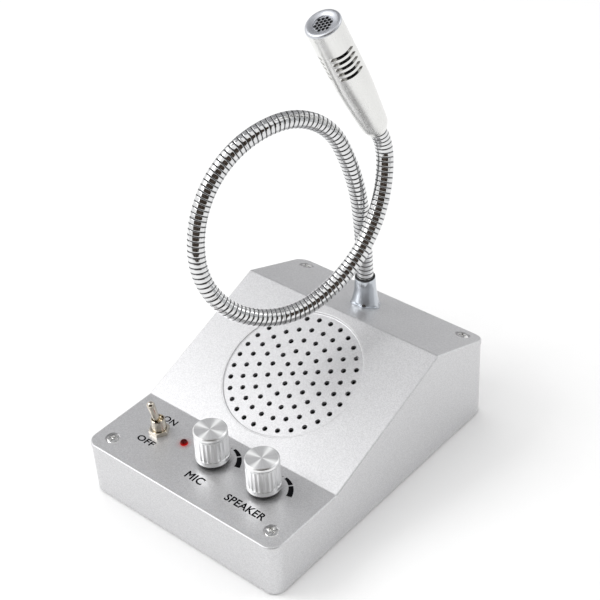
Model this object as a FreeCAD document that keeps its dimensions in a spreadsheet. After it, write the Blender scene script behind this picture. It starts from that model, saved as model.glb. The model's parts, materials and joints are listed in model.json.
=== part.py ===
import FreeCAD, Part
import math
import os
import re
import Sketcher

# Teller window intercom, built in millimetres.
# X runs to the right along the front, Y to the back, Z up.
# The origin is the middle of the footprint, on the surface that the feet stand on.

SIZES = {
    # Case and cover
    "body_width": 110, "body_depth": 150, "corner_radius": 6,
    "front_height": 28, "ridge_height": 56, "back_height": 42,
    "foot_stand": 1, "wall": 2.5, "floor_thickness": 2.5,
    "cover_thickness": 2, "cover_overhang": 0.3, "cover_edge_round": 0.7, "fold_round": 1.5,
    "overrun": 3, "fit_gap": 0.05, "running_gap": 0.3,
    # Rubber feet
    "foot_radius": 6, "foot_seat_depth": 1, "foot_inset": 14,
    # Cover screws and the bosses that take them
    "screw_side": 8.6, "front_screw_in": 9, "rear_screw_in": 6.75,
    "screw_radius": 1.4, "screw_length": 8, "screw_head_radius": 3, "screw_head_height": 0.9,
    "screw_head_dome": 0.35, "screw_seat_radius": 3.5, "screw_seat_depth": 1,
    "cross_length": 3.4, "cross_width": 0.8, "cross_depth": 0.7, "boss_radius": 3.8,
    # Speaker grille in the cover
    "grille_radius": 32.9, "grille_depth": 0.6,
    "grille_hole_radius": 1.2, "grille_ring_pitch": 5.9,
    # Speaker
    "cloth_radius": 28.5, "cloth_thickness": 0.4, "gasket_thickness": 1.5, "gasket_width": 2.5,
    "speaker_radius": 28.5, "basket_sheet": 0.9, "basket_depth": 10, "basket_back_radius": 15,
    "magnet_radius": 16, "magnet_thickness": 8, "yoke_radius": 15, "yoke_thickness": 2,
    "pole_radius": 6.3, "magnet_bore": 8.4, "coil_radius": 7.5, "coil_length": 4,
    "paper_thickness": 0.5, "cone_depth": 8, "surround_radius": 21.5, "surround_rise": 0.6,
    "dust_cap_rise": 2.2,
    "stud_circle": 31, "stud_radius": 1.5, "stud_length": 9, "stud_washer_radius": 4.2,
    "stud_washer_thickness": 0.8, "stud_nut_flats": 5.5, "stud_nut_height": 2.4,
    # Circuit board and what stands on it
    "board_half_width": 40, "board_front_in": 17, "board_back_in": 11, "board_thickness": 1.6,
    "post_height": 5, "post_radius": 3, "post_side": 35, "post_front_in": 23, "post_back_in": 19,
    "board_screw_radius": 1.2, "board_screw_head": 2.4, "board_screw_rise": 1.4,
    "board_screw_grip": 4, "can_count": 3, "can_radius": 5, "can_height": 12, "can_in": 30, "can_first": -33,
    "can_pitch": 13, "chip_width": 10, "chip_depth": 4.4, "chip_height": 9, "chip_in": 34,
    "chip_centre": 14, "sink_width": 26, "sink_height": 20, "sink_base": 3, "sink_fin": 8,
    "sink_fin_thickness": 1.2, "sink_fins": 5,
    # Level controls: potentiometer, nut, shaft and knob
    "mic_level_x": -1, "speaker_level_x": 28.3, "level_in": 25.3,
    "pot_radius": 8.2, "pot_height": 7.5, "pot_bush_radius": 3.6, "pot_bush_rise": 5,
    "pot_lug_width": 1.6, "pot_lug_length": 6, "pot_lug_pitch": 5, "pot_lug_thickness": 0.8,
    "shaft_radius": 2.9, "shaft_bore": 3, "shaft_rise": 14.4, "shaft_sunk": 6,
    "pot_nut_flats": 10, "pot_nut_height": 2,
    "knob_radius": 7.5, "knob_height": 18, "knob_lift": 0.8, "skirt_radius": 7.1,
    "skirt_height": 1.7, "band_radius": 7.65, "band_height": 2.4, "knob_core_radius": 6.5,
    "knob_pocket_radius": 6.1, "knob_pocket_height": 6.4, "knob_top_thickness": 2,
    "knob_chamfer": 0.6, "knob_groove": 0.35, "knob_groove_below": 2, "flute_radius": 1.1,
    "flute_depth": 0.28, "flute_count": 24,
    # Toggle switch
    "toggle_x": -33, "toggle_in": 24.6, "toggle_lean": 12.5, "bush_radius": 3.3,
    "bush_bore": 2.6, "bush_rise": 7.5, "pivot_below_mouth": 3.4, "lever_ball": 2.3,
    "lever_root": 1.25, "lever_tip": 1.6, "lever_length": 15, "lever_tail": 8.5,
    "lever_tail_radius": 0.8, "toggle_pin_radius": 0.5, "toggle_pin_length": 6.4,
    "toggle_nut_flats": 8.4, "toggle_nut_height": 2, "toggle_length": 13.2, "toggle_width": 8,
    "toggle_depth": 9.5, "toggle_plate": 0.8, "toggle_well_length": 7, "toggle_well_width": 4,
    "toggle_well_depth": 4.5, "terminal_width": 1.2, "terminal_thickness": 0.8,
    "terminal_length": 4, "terminal_pitch": 4.7,
    # Power light
    "led_x": -18.7, "led_in": 25.4, "led_radius": 1.5, "led_rise": 1.6, "led_rim": 1.9,
    "led_rim_height": 1, "spacer_radius": 2.3, "spacer_bore": 1.1,
    # Sockets in the back
    "dc_x": -22, "jack_x": 2, "record_x": 20, "socket_rise": 6.5,
    "dc_width": 9, "dc_length": 13, "dc_height": 11, "dc_nose": 4, "dc_bore": 2.75,
    "dc_pin": 1.05, "dc_bore_depth": 9.5, "jack_width": 8, "jack_length": 12, "jack_height": 9.5,
    "jack_nose": 3, "jack_bore": 1.85, "jack_bore_depth": 12,
    # Neck socket
    "socket_height": 15.5, "socket_top_radius": 4.75, "socket_waist_radius": 5.05, "seal_radius": 4.4,
    "socket_foot_radius": 6.7, "socket_flare": 4.5, "lead_bore": 1.5, "socket_hex_flats": 13.4,
    "socket_hex_height": 2.2, "socket_bore_depth": 12.5, "seal_depth": 1.2, "seal_proud": 0.15,
    "tail_radius": 4.5, "tail_length": 7, "socket_nut_flats": 12, "socket_nut_height": 3,
    # Gooseneck
    "neck_crest": 3.9, "neck_valley": 3.4, "neck_stretch": 36, "neck_end_stretch": 12,
    "neck_ribs": 14, "neck_end_ribs": 5, "neck_facets": 12, "neck_plug": 12,
    "neck_ball": 3.3, "neck_cup": 3.7, "mic_plug": 6,
    # Microphone head
    "mic_length": 68.5, "mic_radius": 7.85, "mic_neck_radius": 4.5, "mic_shoulder_radius": 5.8,
    "mic_shoulder": 5, "mic_taper": 30, "mic_wall": 1.2, "mic_end_round": 0.8,
    "mic_slot_first": 43.2, "mic_slot_pitch": 2.9, "mic_slot_width": 1.3, "mic_slot_rows": 5,
    "mic_slot_columns": 6, "mic_slot_chord": 5.4, "mic_disc_thickness": 0.8,
    "mic_disc_inset": 0.3, "mic_hole_radius": 0.65, "mic_hole_pitch": 1.7, "mic_turn": -24,
    "capsule_radius": 4.85, "capsule_length": 5, "cradle_length": 4, "capsule_gap": 1.2,
}

# Where the neck points at the end of each stretch: compass angle from +X and rise, in degrees.
NECK_HEADINGS = [
    (-142, 86), (-129, 68), (-110, -2), (-99, -44), (-39, -75),
    (56, -32), (72, 19), (86, 48), (129, 70), (-101, 65),
]

# The decks' share of the case's depth, and where the grille's middle lies up the slope.
FRONT_DECK_SHARE = 0.27
REAR_DECK_SHARE = 0.25
GRILLE_SHARE = 0.518
# The rise of an arc over its chord, as a share of the chord.
QUARTER_TURN_SHARE = math.tan(math.pi / 8) / 2
# Points between two corners of a profile, as shares of the way across and of the way up.
ROUND_END_SHARES = [(0.134, 0.5), (0.5, 0.866)]
FLARE_SHARES = [(0.55, 0.2), (0.85, 0.55)]
MIC_TAPER_SHARES = [(0.44, 0.36), (0.8, 0.72)]
DUST_CAP_SHARES = [(0.6, 0.3)]
# Points of the lever's ball, as shares of its radius across and up.
BALL_SHARES = [(0.5, -0.866), (0.866, -0.5), (1, 0), (0.866, 0.5)]
# Where the sections of a link's ball and cup stand, as degrees of rise from its middle.
BALL_ANGLES = [0, 30, 55, 80]
FACES_UP_SHARE = 0.5
GRILLE_RINGS = range(1, 6)
HOLES_PER_RING = 6

DOC = FreeCAD.newDocument("teller_window_intercom")
SHEET = DOC.addObject("Spreadsheet::Sheet", "sizes")
PIECES = []


def fill_sheet():
    """Write every driving dimension into the sheet, with its name as alias."""
    for row, (name, size) in enumerate(SIZES.items(), 1):
        SHEET.set("A%d" % row, name)
        SHEET.set("B%d" % row, str(size))
        SHEET.setAlias("B%d" % row, name)
    DOC.recompute()


def bound(text):
    """An expression on the sheet's sizes, from their bare names."""
    return re.sub("[a-z_]+", lambda word: "sizes." + word.group()
                  if word.group() in SIZES else word.group(), str(text))


def value(text):
    """What an expression on the sheet's sizes comes to."""
    return float(SHEET.evalExpression(bound(text)))


def bind(thing, prop, text):
    """Tie a property to the sheet."""
    thing.setExpression(prop, bound(text))


def place(thing, at, tilt="0", prop="Placement"):
    """Set an object at named sizes, tilted about the X axis."""
    turn = FreeCAD.Rotation(FreeCAD.Vector(1, 0, 0), value(tilt))
    setattr(thing, prop, FreeCAD.Placement(FreeCAD.Vector(*[value(part) for part in at]), turn))
    for axis, part in zip("xyz", at):
        bind(thing, "%s.Base.%s" % (prop, axis), part)
    if tilt != "0":
        bind(thing, prop + ".Rotation.Angle", tilt)


# Places that many pieces share, as expressions on the sizes.
FRONT = "(-body_depth / 2)"
BACK = "(body_depth / 2)"
REAR_DECK = "(body_depth * %r)" % REAR_DECK_SHARE
FOLD = "(-body_depth / 2 + body_depth * %r)" % FRONT_DECK_SHARE
RIDGE = "(body_depth / 2 - %s)" % REAR_DECK
SLOPE = "atan((ridge_height - front_height) / (%s - %s))" % (RIDGE, FOLD)
REAR = "atan((ridge_height - back_height) / %s)" % REAR_DECK
DECK = "front_height"
UNDER_DECK = "(front_height - cover_thickness)"
FLOOR = "(foot_stand + floor_thickness)"
BOARD = "(foot_stand + floor_thickness + post_height)"
BOARD_TOP = "(foot_stand + floor_thickness + post_height + board_thickness)"
GRILLE = ("0", "(%s + (%s - %s) * %r)" % (FOLD, RIDGE, FOLD, GRILLE_SHARE),
          "(front_height + (ridge_height - front_height) * %r)" % GRILLE_SHARE)
POST_FRONT = FRONT + " + post_front_in"
POST_BACK = BACK + " - post_back_in"
FRONT_SCREW = (FRONT + " + front_screw_in", "front_height")
REAR_SCREW = (BACK + " - rear_screw_in", "back_height + rear_screw_in * tan(%s)" % REAR)
NECK_Y = "(body_depth / 2 - %s / 2)" % REAR_DECK
NECK_DECK = "((ridge_height + back_height) / 2)"


def sunk(at, tilt, depth):
    """The point a depth under a sloping surface, square to it."""
    return (at[0], "%s + (%s) * sin(%s)" % (at[1], depth, tilt),
            "%s - (%s) * cos(%s)" % (at[2], depth, tilt))


def between(start, end, shares):
    """Corners on the way from one to another."""
    return [("%s + (%s - (%s)) * %r" % (start[0], end[0], start[0], across),
             "%s + (%s - (%s)) * %r" % (start[1], end[1], start[1], up)) for across, up in shares]


class Piece:
    """A PartDesign body, with the sketches and features that shape it."""

    def __init__(self, label, at=("0", "0", "0"), tilt="0", kept=True):
        self.body = DOC.addObject("PartDesign::Body", label)
        self.body.Label = label
        if at:
            place(self.body, at, tilt)
        if kept:
            PIECES.append(self.body)

    def origin(self, role):
        """One of the body's own planes or axes."""
        return [item for item in self.body.Origin.OriginFeatures if item.Role == role][0]

    def sketch(self, plane="XY_Plane", at=None, tilt="0"):
        """An empty sketch on one of the body's own planes."""
        drawing = self.body.newObject("Sketcher::SketchObject", "Sketch")
        drawing.AttachmentSupport = [(self.origin(plane), "")]
        drawing.MapMode = "FlatFace"
        if at:
            place(drawing, at, tilt, "AttachmentOffset")
        return drawing

    def outline(self, drawing, corners):
        """A closed outline. A corner with a third value starts an arc that bulges by that share."""
        spots = [(value(corner[0]), value(corner[1])) for corner in corners]
        first = drawing.GeometryCount
        count = len(corners)
        for index, corner in enumerate(corners):
            here = FreeCAD.Vector(*spots[index], 0)
            there = FreeCAD.Vector(*spots[(index + 1) % count], 0)
            if len(corner) == 3:
                run = there - here
                middle = (here + there) / 2 + FreeCAD.Vector(run.y, -run.x, 0) * corner[2]
                drawing.addGeometry(Part.Arc(here, middle, there), False)
            else:
                drawing.addGeometry(Part.LineSegment(here, there), False)
        for index, corner in enumerate(corners):
            line = first + index
            after = first + (index + 1) % count
            start, end = (2, 1) if len(corner) == 3 and corner[2] < 0 else (1, 2)
            next_corner = corners[(index + 1) % count]
            next_start = 2 if len(next_corner) == 3 and next_corner[2] < 0 else 1
            drawing.addConstraint(Sketcher.Constraint("Coincident", line, end, after, next_start))
            for kind, text, size in zip(("DistanceX", "DistanceY"), corner, spots[index]):
                rule = Sketcher.Constraint(kind, -1, 1, line, start, size)
                number = drawing.addConstraint(rule)
                bind(drawing, "Constraints[%d]" % number, text)
            if len(corner) == 3:
                share = abs(corner[2])
                target = corners[(index + 1) % count]
                chord = "sqrt((%s - (%s))^2 + (%s - (%s))^2)" % (
                    target[0], corner[0], target[1], corner[1])
                radius = "%s * %r" % (chord, (0.25 + share ** 2) / (2 * share))
                rule = Sketcher.Constraint("Radius", line, value(radius))
                number = drawing.addConstraint(rule)
                bind(drawing, "Constraints[%d]" % number, radius)
        return drawing

    def circle(self, drawing, radius, x="0", y="0"):
        """A circle whose centre and radius follow the sheet."""
        centre = FreeCAD.Vector(value(x), value(y), 0)
        ring = drawing.addGeometry(Part.Circle(centre, FreeCAD.Vector(0, 0, 1), value(radius)), False)
        for kind, text in (("DistanceX", x), ("DistanceY", y)):
            number = drawing.addConstraint(Sketcher.Constraint(kind, -1, 1, ring, 3, value(text)))
            bind(drawing, "Constraints[%d]" % number, text)
        number = drawing.addConstraint(Sketcher.Constraint("Radius", ring, value(radius)))
        bind(drawing, "Constraints[%d]" % number, radius)
        return drawing

    def box(self, drawing, left, near, right, far):
        """An upright rectangle."""
        return self.outline(drawing, [(left, near), (right, near), (right, far), (left, far)])

    def hexagon(self, drawing, flats, x="0", y="0"):
        """A hexagon with two flats square to Y, sized across its flats."""
        half = "(%s) / 2" % flats
        side = "(%s) / 2 * tan(30)" % flats
        corner = "(%s) / 2 / cos(30)" % flats
        spots = [(side, "-" + half), (corner, "0"), (side, half),
                 ("-" + side, half), ("-" + corner, "0"), ("-" + side, "-" + half)]
        return self.outline(drawing, [("%s + %s" % (x, across), "%s + %s" % (y, deep))
                                      for across, deep in spots])

    def feature(self, kind, drawing, **settings):
        """A feature made from a sketch."""
        made = self.body.newObject("PartDesign::" + kind, kind)
        made.Profile = drawing
        for name, setting in settings.items():
            setattr(made, name, setting)
        return made

    def pad(self, drawing, length, **settings):
        made = self.feature("Pad", drawing, **settings)
        bind(made, "Length", length)
        return made

    def pocket(self, drawing, depth=None, **settings):
        """A cut against the sketch's normal: to a depth, or right through."""
        made = self.feature("Pocket", drawing, **settings)
        if depth is None:
            made.Type = "ThroughAll"
        else:
            bind(made, "Length", depth)
        return made

    def turned(self, corners):
        """A profile in the XZ plane, turned about the upright axis."""
        drawing = self.outline(self.sketch("XZ_Plane"), corners)
        made = self.feature("Revolution", drawing, Angle=360)
        made.ReferenceAxis = (drawing, ["V_Axis"])
        return made

    def around(self, feature, count):
        """Copies of a feature about the normal of its sketch."""
        made = self.body.newObject("PartDesign::PolarPattern", "PolarPattern")
        made.Originals = [feature]
        made.Axis = (feature.Profile[0], ["N_Axis"])
        made.Angle = 360
        made.Occurrences = count
        self.body.Tip = made
        return made

    def fillet(self, base, names, radius):
        made = self.body.newObject("PartDesign::Fillet", "Fillet")
        made.Base = (base, names)
        bind(made, "Radius", radius)
        return made


def edge_names(shape, test):
    """The names of the edges that a test picks."""
    return ["Edge%d" % number for number, edge in enumerate(shape.Edges, 1) if test(edge)]


def rounded(half_width, half_depth, radius):
    """The corners of a rounded rectangle about the origin."""
    across, deep, turn = half_width, half_depth, QUARTER_TURN_SHARE
    inner_x = "(%s - (%s))" % (across, radius)
    inner_y = "(%s - (%s))" % (deep, radius)
    return [
        (inner_x, "-" + deep, turn), (across, "-" + inner_y),
        (across, inner_y, turn), (inner_x, deep),
        ("-" + inner_x, deep, turn), ("-" + across, inner_y),
        ("-" + across, "-" + inner_y, turn), ("-" + inner_x, "-" + deep)]


def roofline(depth, beyond):
    """The line a depth under the top of the cover, as Y and Z, run on past both ends."""
    both = "(1 + cos(%s + %s))" % (SLOPE, REAR)
    return [
        ("%s - %s" % (FRONT, beyond), "front_height - %s" % depth),
        ("%s + %s * tan(%s / 2)" % (FOLD, depth, SLOPE), "front_height - %s" % depth),
        ("%s + %s * (sin(%s) - sin(%s)) / %s" % (RIDGE, depth, SLOPE, REAR, both),
         "ridge_height - %s * (cos(%s) + cos(%s)) / %s" % (depth, SLOPE, REAR, both)),
        ("%s + %s" % (BACK, beyond),
         "back_height - %s / cos(%s) - %s * tan(%s)" % (depth, REAR, beyond, REAR))]


def cut_above(piece, depth):
    """Take away what lies above the roofline at a depth under the cover's top."""
    line = roofline(depth, "overrun")
    over = "ridge_height + 2 * overrun"
    corners = [(line[0][0], over)] + line + [(line[-1][0], over)]
    return piece.pocket(piece.outline(piece.sketch("YZ_Plane"), corners), Midplane=True)


def housing():
    """The case: a tray with posts, bosses and the openings for the sockets."""
    case = Piece("housing")
    half_width = "(body_width / 2 - cover_overhang)"
    half_depth = "(body_depth / 2 - cover_overhang)"
    corner = "(corner_radius - cover_overhang)"
    base = case.sketch(at=("0", "0", "foot_stand"))
    case.pad(case.outline(base, rounded(half_width, half_depth, corner)), "ridge_height")
    mouth = case.sketch(at=("0", "0", "foot_stand + ridge_height"))
    inside = rounded("(%s - wall)" % half_width, "(%s - wall)" % half_depth, "(%s - wall)" % corner)
    case.pocket(case.outline(mouth, inside), "ridge_height - floor_thickness")
    bosses = case.sketch(at=("0", "0", "foot_stand"))
    rear_boss = "%s - screw_length / 2 * sin(%s)" % (REAR_SCREW[0], REAR)
    for side in ("", "-"):
        x = side + "(body_width / 2 - screw_side)"
        case.circle(bosses, "boss_radius", x, FRONT + " + front_screw_in")
        case.circle(bosses, "boss_radius", x, rear_boss)
    case.pad(bosses, "ridge_height - overrun")
    cut_above(case, "cover_thickness")
    posts = case.sketch(at=("0", "0", "foot_stand"))
    for side in ("", "-"):
        case.circle(posts, "post_radius", side + "post_side", POST_FRONT)
        case.circle(posts, "post_radius", side + "post_side", POST_BACK)
    case.pad(posts, "floor_thickness + post_height")
    pilots = case.sketch(at=("0", "0", BOARD))
    for side in ("", "-"):
        case.circle(pilots, "board_screw_radius + fit_gap", side + "post_side", POST_FRONT)
        case.circle(pilots, "board_screw_radius + fit_gap", side + "post_side", POST_BACK)
    case.pocket(pilots, "board_screw_grip")
    front = case.sketch(at=("0", FRONT + " + front_screw_in", UNDER_DECK))
    rear = case.sketch(at=("0",) + REAR_SCREW, tilt="-" + REAR)
    for drawing, depth in ((front, "screw_length"), (rear, "screw_length + cover_thickness")):
        for side in ("", "-"):
            case.circle(drawing, "screw_radius + fit_gap", side + "(body_width / 2 - screw_side)")
        case.pocket(drawing, depth)
    sockets = case.sketch("XZ_Plane")
    for x, radius in (("dc_x", "dc_nose"), ("jack_x", "jack_nose"), ("record_x", "jack_nose")):
        case.circle(sockets, radius + " + fit_gap", x, BOARD_TOP + " + socket_rise")
    case.pocket(sockets, "body_depth", Reversed=False)
    seats = case.sketch(at=("0", "0", "foot_stand + foot_seat_depth"))
    foot_ring(case, seats, "foot_radius + fit_gap")
    case.pocket(seats, "foot_seat_depth + overrun")


def foot_ring(piece, drawing, radius):
    """The four circles of the feet."""
    for x in ("(body_width / 2 - foot_inset)", "-(body_width / 2 - foot_inset)"):
        for y in ("(body_depth / 2 - foot_inset)", "-(body_depth / 2 - foot_inset)"):
            piece.circle(drawing, radius, x, y)


def rubber_feet():
    feet = Piece("rubber_feet")
    drawing = feet.sketch()
    foot_ring(feet, drawing, "foot_radius")
    feet.pad(drawing, "foot_stand + foot_seat_depth - fit_gap")


def top_cover():
    """The folded cover, with the grille, and the holes for what stands in it."""
    cover = Piece("top_cover")
    plate = cover.sketch()
    cover.pad(cover.outline(plate, rounded("(body_width / 2)", "(body_depth / 2)", "corner_radius")),
              "ridge_height + overrun")
    cut_above(cover, "0")
    line = roofline("cover_thickness", "overrun")
    corners = [(line[0][0], "-overrun")] + line + [(line[-1][0], "-overrun")]
    sheet = cover.pocket(cover.outline(cover.sketch("YZ_Plane"), corners), Midplane=True)
    DOC.recompute()
    folds = [value(FOLD), value(RIDGE)]

    def is_fold(edge):
        middle = edge.BoundBox.Center
        heights = (value("front_height"), value("ridge_height"))
        return any(abs(middle.y - fold) < value("fit_gap") and edge.BoundBox.YLength < value("fit_gap")
                   and abs(middle.z - height) < value("fit_gap")
                   for fold, height in zip(folds, heights))
    bends = cover.fillet(sheet, edge_names(sheet.Shape, is_fold), "fold_round")
    DOC.recompute()
    tops = [face for face in bends.Shape.Faces if face.normalAt(0, 0).z > FACES_UP_SHARE]

    def is_rim(edge):
        return sum(any(edge.isSame(other) for other in face.Edges) for face in tops) == 1
    cover.fillet(bends, edge_names(bends.Shape, is_rim), "cover_edge_round")
    DOC.recompute()
    cover_openings(cover)


def cover_openings(cover):
    """The recess and holes of the grille, and the holes for the screws and the controls."""
    recess = cover.sketch(at=GRILLE, tilt=SLOPE)
    cover.pocket(cover.circle(recess, "grille_radius"), "grille_depth")
    middle = cover.sketch(at=GRILLE, tilt=SLOPE)
    cover.pocket(cover.circle(middle, "grille_hole_radius"), "cover_thickness + overrun")
    for ring in GRILLE_RINGS:
        hole = cover.sketch(at=GRILLE, tilt=SLOPE)
        cover.circle(hole, "grille_hole_radius", "0", "%d * grille_ring_pitch" % ring)
        cover.around(cover.pocket(hole, "cover_thickness + overrun"), HOLES_PER_RING * ring)
    deck = cover.sketch(at=("0", "0", DECK))
    for x in ("mic_level_x", "speaker_level_x"):
        cover.circle(deck, "pot_bush_radius + fit_gap", x, FRONT + " + level_in")
    cover.circle(deck, "bush_radius + fit_gap", "toggle_x", FRONT + " + toggle_in")
    cover.circle(deck, "led_radius + fit_gap", "led_x", FRONT + " + led_in")
    cover.pocket(deck, "cover_thickness + overrun")
    back = cover.sketch(at=("0", NECK_Y, NECK_DECK), tilt="-" + REAR)
    cover.circle(back, "tail_radius + fit_gap")
    cover.pocket(back, "cover_thickness + overrun")
    for spot, tilt in ((FRONT_SCREW, "0"), (REAR_SCREW, "-" + REAR)):
        for radius, depth in (("screw_radius + fit_gap", "cover_thickness + overrun"),
                              ("screw_seat_radius", "screw_seat_depth")):
            drawing = cover.sketch(at=("0",) + spot, tilt=tilt)
            for side in ("", "-"):
                cover.circle(drawing, radius, side + "(body_width / 2 - screw_side)")
            cover.pocket(drawing, depth)


def group(label, members):
    """Like pieces, kept together under one name."""
    together = DOC.addObject("Part::Compound", label)
    together.Label = label
    together.Links = [member.body for member in members]
    PIECES.append(together)


def cover_screw(label, x, spot, tilt):
    """A domed cross-head screw in its seat."""
    screw = Piece(label, at=(x,) + spot, tilt=tilt, kept=False)
    screw.turned([
        ("0", "-screw_seat_depth - screw_length + fit_gap"),
        ("screw_radius", "-screw_seat_depth - screw_length + fit_gap"),
        ("screw_radius", "-screw_seat_depth"),
        ("screw_head_radius", "-screw_seat_depth"),
        ("screw_head_radius", "-screw_seat_depth + screw_head_height - screw_head_dome"),
        ("screw_head_radius - screw_head_dome", "-screw_seat_depth + screw_head_height"),
        ("0", "-screw_seat_depth + screw_head_height")])
    cross = screw.sketch(at=("0", "0", "-screw_seat_depth + screw_head_height"))
    arm, half = "cross_length / 2", "cross_width / 2"
    screw.outline(cross, [
        (half, "-" + arm), (half, "-" + half), (arm, "-" + half), (arm, half),
        (half, half), (half, arm), ("-" + half, arm), ("-" + half, half),
        ("-" + arm, half), ("-" + arm, "-" + half), ("-" + half, "-" + half), ("-" + half, "-" + arm)])
    screw.pocket(cross, "cross_depth")
    return screw


def cover_screws():
    """The four screws that hold the cover: two in the front deck, two in the rear one."""
    screws = []
    for spot, tilt in ((FRONT_SCREW, "0"), (REAR_SCREW, "-" + REAR)):
        for side in ("", "-"):
            x = side + "(body_width / 2 - screw_side)"
            screws.append(cover_screw("cover_screw", x, spot, tilt))
    group("cover_screws", screws)


# The speaker's own frame: its axis square to the cover, zero at the cover's underside.
SPEAKER = sunk(GRILLE, SLOPE, "cover_thickness")
FLANGE = "(-cloth_thickness - gasket_thickness)"
CONE_FOOT = "(-cloth_thickness - gasket_thickness - cone_depth)"
BASKET_FOOT = "(-cloth_thickness - gasket_thickness - basket_depth)"


def ring(label, inner, outer, top, height):
    """A flat ring in the speaker's frame."""
    piece = Piece(label, at=SPEAKER, tilt=SLOPE)
    drawing = piece.sketch(at=("0", "0", top))
    piece.circle(drawing, outer)
    if inner:
        piece.circle(drawing, inner)
    piece.pad(drawing, height, Reversed=True)
    return piece


def speaker():
    """The loudspeaker behind the grille, with its dust cloth and gasket."""
    ring("speaker_cloth", None, "cloth_radius", "0", "cloth_thickness")
    rim = "(speaker_radius - gasket_width)"
    ring("speaker_gasket", rim, "speaker_radius", "-cloth_thickness", "gasket_thickness")
    basket = Piece("speaker_basket", at=SPEAKER, tilt=SLOPE)
    basket.turned([
        (rim + " - basket_sheet", FLANGE), ("basket_back_radius - basket_sheet",
                                            BASKET_FOOT + " + basket_sheet"),
        ("magnet_bore", BASKET_FOOT + " + basket_sheet"), ("magnet_bore", BASKET_FOOT),
        ("basket_back_radius", BASKET_FOOT), (rim, FLANGE + " - basket_sheet"),
        ("speaker_radius", FLANGE + " - basket_sheet"), ("speaker_radius", FLANGE)])
    cone = Piece("speaker_cone", at=SPEAKER, tilt=SLOPE)
    edge = rim + " - fit_gap"
    roll = "(%s + surround_radius) / 2" % edge
    paper = " + paper_thickness"
    cap = (("0", CONE_FOOT + " + dust_cap_rise"), ("coil_radius", CONE_FOOT))
    cap_inside = (cap[0], ("coil_radius - paper_thickness", CONE_FOOT))
    top = [(across, up + paper) for across, up in [cap[0]] + between(*cap, DUST_CAP_SHARES) + [cap[1]]]
    cone.turned(top + [
        ("surround_radius", FLANGE + paper), (roll, FLANGE + paper + " + surround_rise"),
        (edge, FLANGE + paper), (edge, FLANGE), (roll, FLANGE + " + surround_rise"),
        ("surround_radius", FLANGE), ("coil_radius", CONE_FOOT),
        ("coil_radius", CONE_FOOT + " - coil_length"),
        ("coil_radius - paper_thickness", CONE_FOOT + " - coil_length"), cap_inside[1]]
        + between(*cap_inside, DUST_CAP_SHARES)[::-1] + [cap_inside[0]])
    ring("speaker_magnet", "magnet_bore", "magnet_radius", BASKET_FOOT, "magnet_thickness")
    yoke = Piece("speaker_yoke", at=SPEAKER, tilt=SLOPE)
    foot = BASKET_FOOT + " - magnet_thickness"
    yoke.turned([
        ("0", foot + " - yoke_thickness"), ("yoke_radius", foot + " - yoke_thickness"),
        ("yoke_radius", foot), ("pole_radius", foot), ("pole_radius", BASKET_FOOT), ("0", BASKET_FOOT)])
    speaker_fixings()


def speaker_fixings():
    """Studs under the cover, with the washers and nuts that hold the speaker's flange."""
    spots = [("%sstud_circle * cos(45)" % across, "%sstud_circle * sin(45)" % deep)
             for across in ("", "-") for deep in ("", "-")]
    under = FLANGE + " - basket_sheet"
    studs = Piece("speaker_studs", at=SPEAKER, tilt=SLOPE)
    drawing = studs.sketch()
    for x, y in spots:
        studs.circle(drawing, "stud_radius", x, y)
    studs.pad(drawing, "stud_length", Reversed=True)
    washers = Piece("speaker_washers", at=SPEAKER, tilt=SLOPE)
    drawing = washers.sketch(at=("0", "0", under))
    for x, y in spots:
        washers.circle(drawing, "stud_washer_radius", x, y)
        washers.circle(drawing, "stud_radius + fit_gap", x, y)
    washers.pad(drawing, "stud_washer_thickness", Reversed=True)
    nuts = Piece("speaker_nuts", at=SPEAKER, tilt=SLOPE)
    drawing = nuts.sketch(at=("0", "0", under + " - stud_washer_thickness"))
    for x, y in spots:
        nuts.hexagon(drawing, "stud_nut_flats", x, y)
        nuts.circle(drawing, "stud_radius + fit_gap", x, y)
    nuts.pad(drawing, "stud_nut_height", Reversed=True)


def circuit_board():
    """The amplifier's board on its posts, with its screws and the tall components."""
    corners = [(side + "post_side", end) for side in ("", "-") for end in (POST_FRONT, POST_BACK)]
    board = Piece("circuit_board")
    drawing = board.sketch(at=("0", "0", BOARD))
    board.box(drawing, "-board_half_width", FRONT + " + board_front_in",
              "board_half_width", BACK + " - board_back_in")
    for x, y in corners:
        board.circle(drawing, "board_screw_radius + fit_gap", x, y)
    board.pad(drawing, "board_thickness")
    screws = Piece("board_screws")
    for radius, length, upward in (("board_screw_head", "board_screw_rise", True),
                                   ("board_screw_radius", "board_thickness + board_screw_grip - fit_gap",
                                    False)):
        drawing = screws.sketch(at=("0", "0", BOARD_TOP))
        for x, y in corners:
            screws.circle(drawing, radius, x, y)
        screws.pad(drawing, length, Reversed=not upward)
    cans = Piece("capacitors")
    drawing = cans.sketch(at=("0", "0", BOARD_TOP))
    for number in range(SIZES["can_count"]):
        cans.circle(drawing, "can_radius", "can_first + %d * can_pitch" % number, BACK + " - can_in")
    cans.pad(drawing, "can_height")
    spot = ("chip_centre", BACK + " - chip_in", BOARD_TOP)
    chip = Piece("amplifier_chip", at=spot)
    chip.pad(chip.box(chip.sketch(), "-chip_width / 2", "-chip_depth", "chip_width / 2", "0"),
             "chip_height")
    sink = Piece("heat_sink", at=spot)
    half = "sink_width / 2"
    sink.pad(sink.box(sink.sketch(), "-" + half, "0", half, "sink_base"), "sink_height")
    fins = sink.sketch()
    for number in range(SIZES["sink_fins"]):
        left = "(-%s + %d * (sink_width - sink_fin_thickness) / (sink_fins - 1))" % (half, number)
        sink.box(fins, left, "sink_base", left + " + sink_fin_thickness", "sink_base + sink_fin")
    sink.pad(fins, "sink_height")


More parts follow.
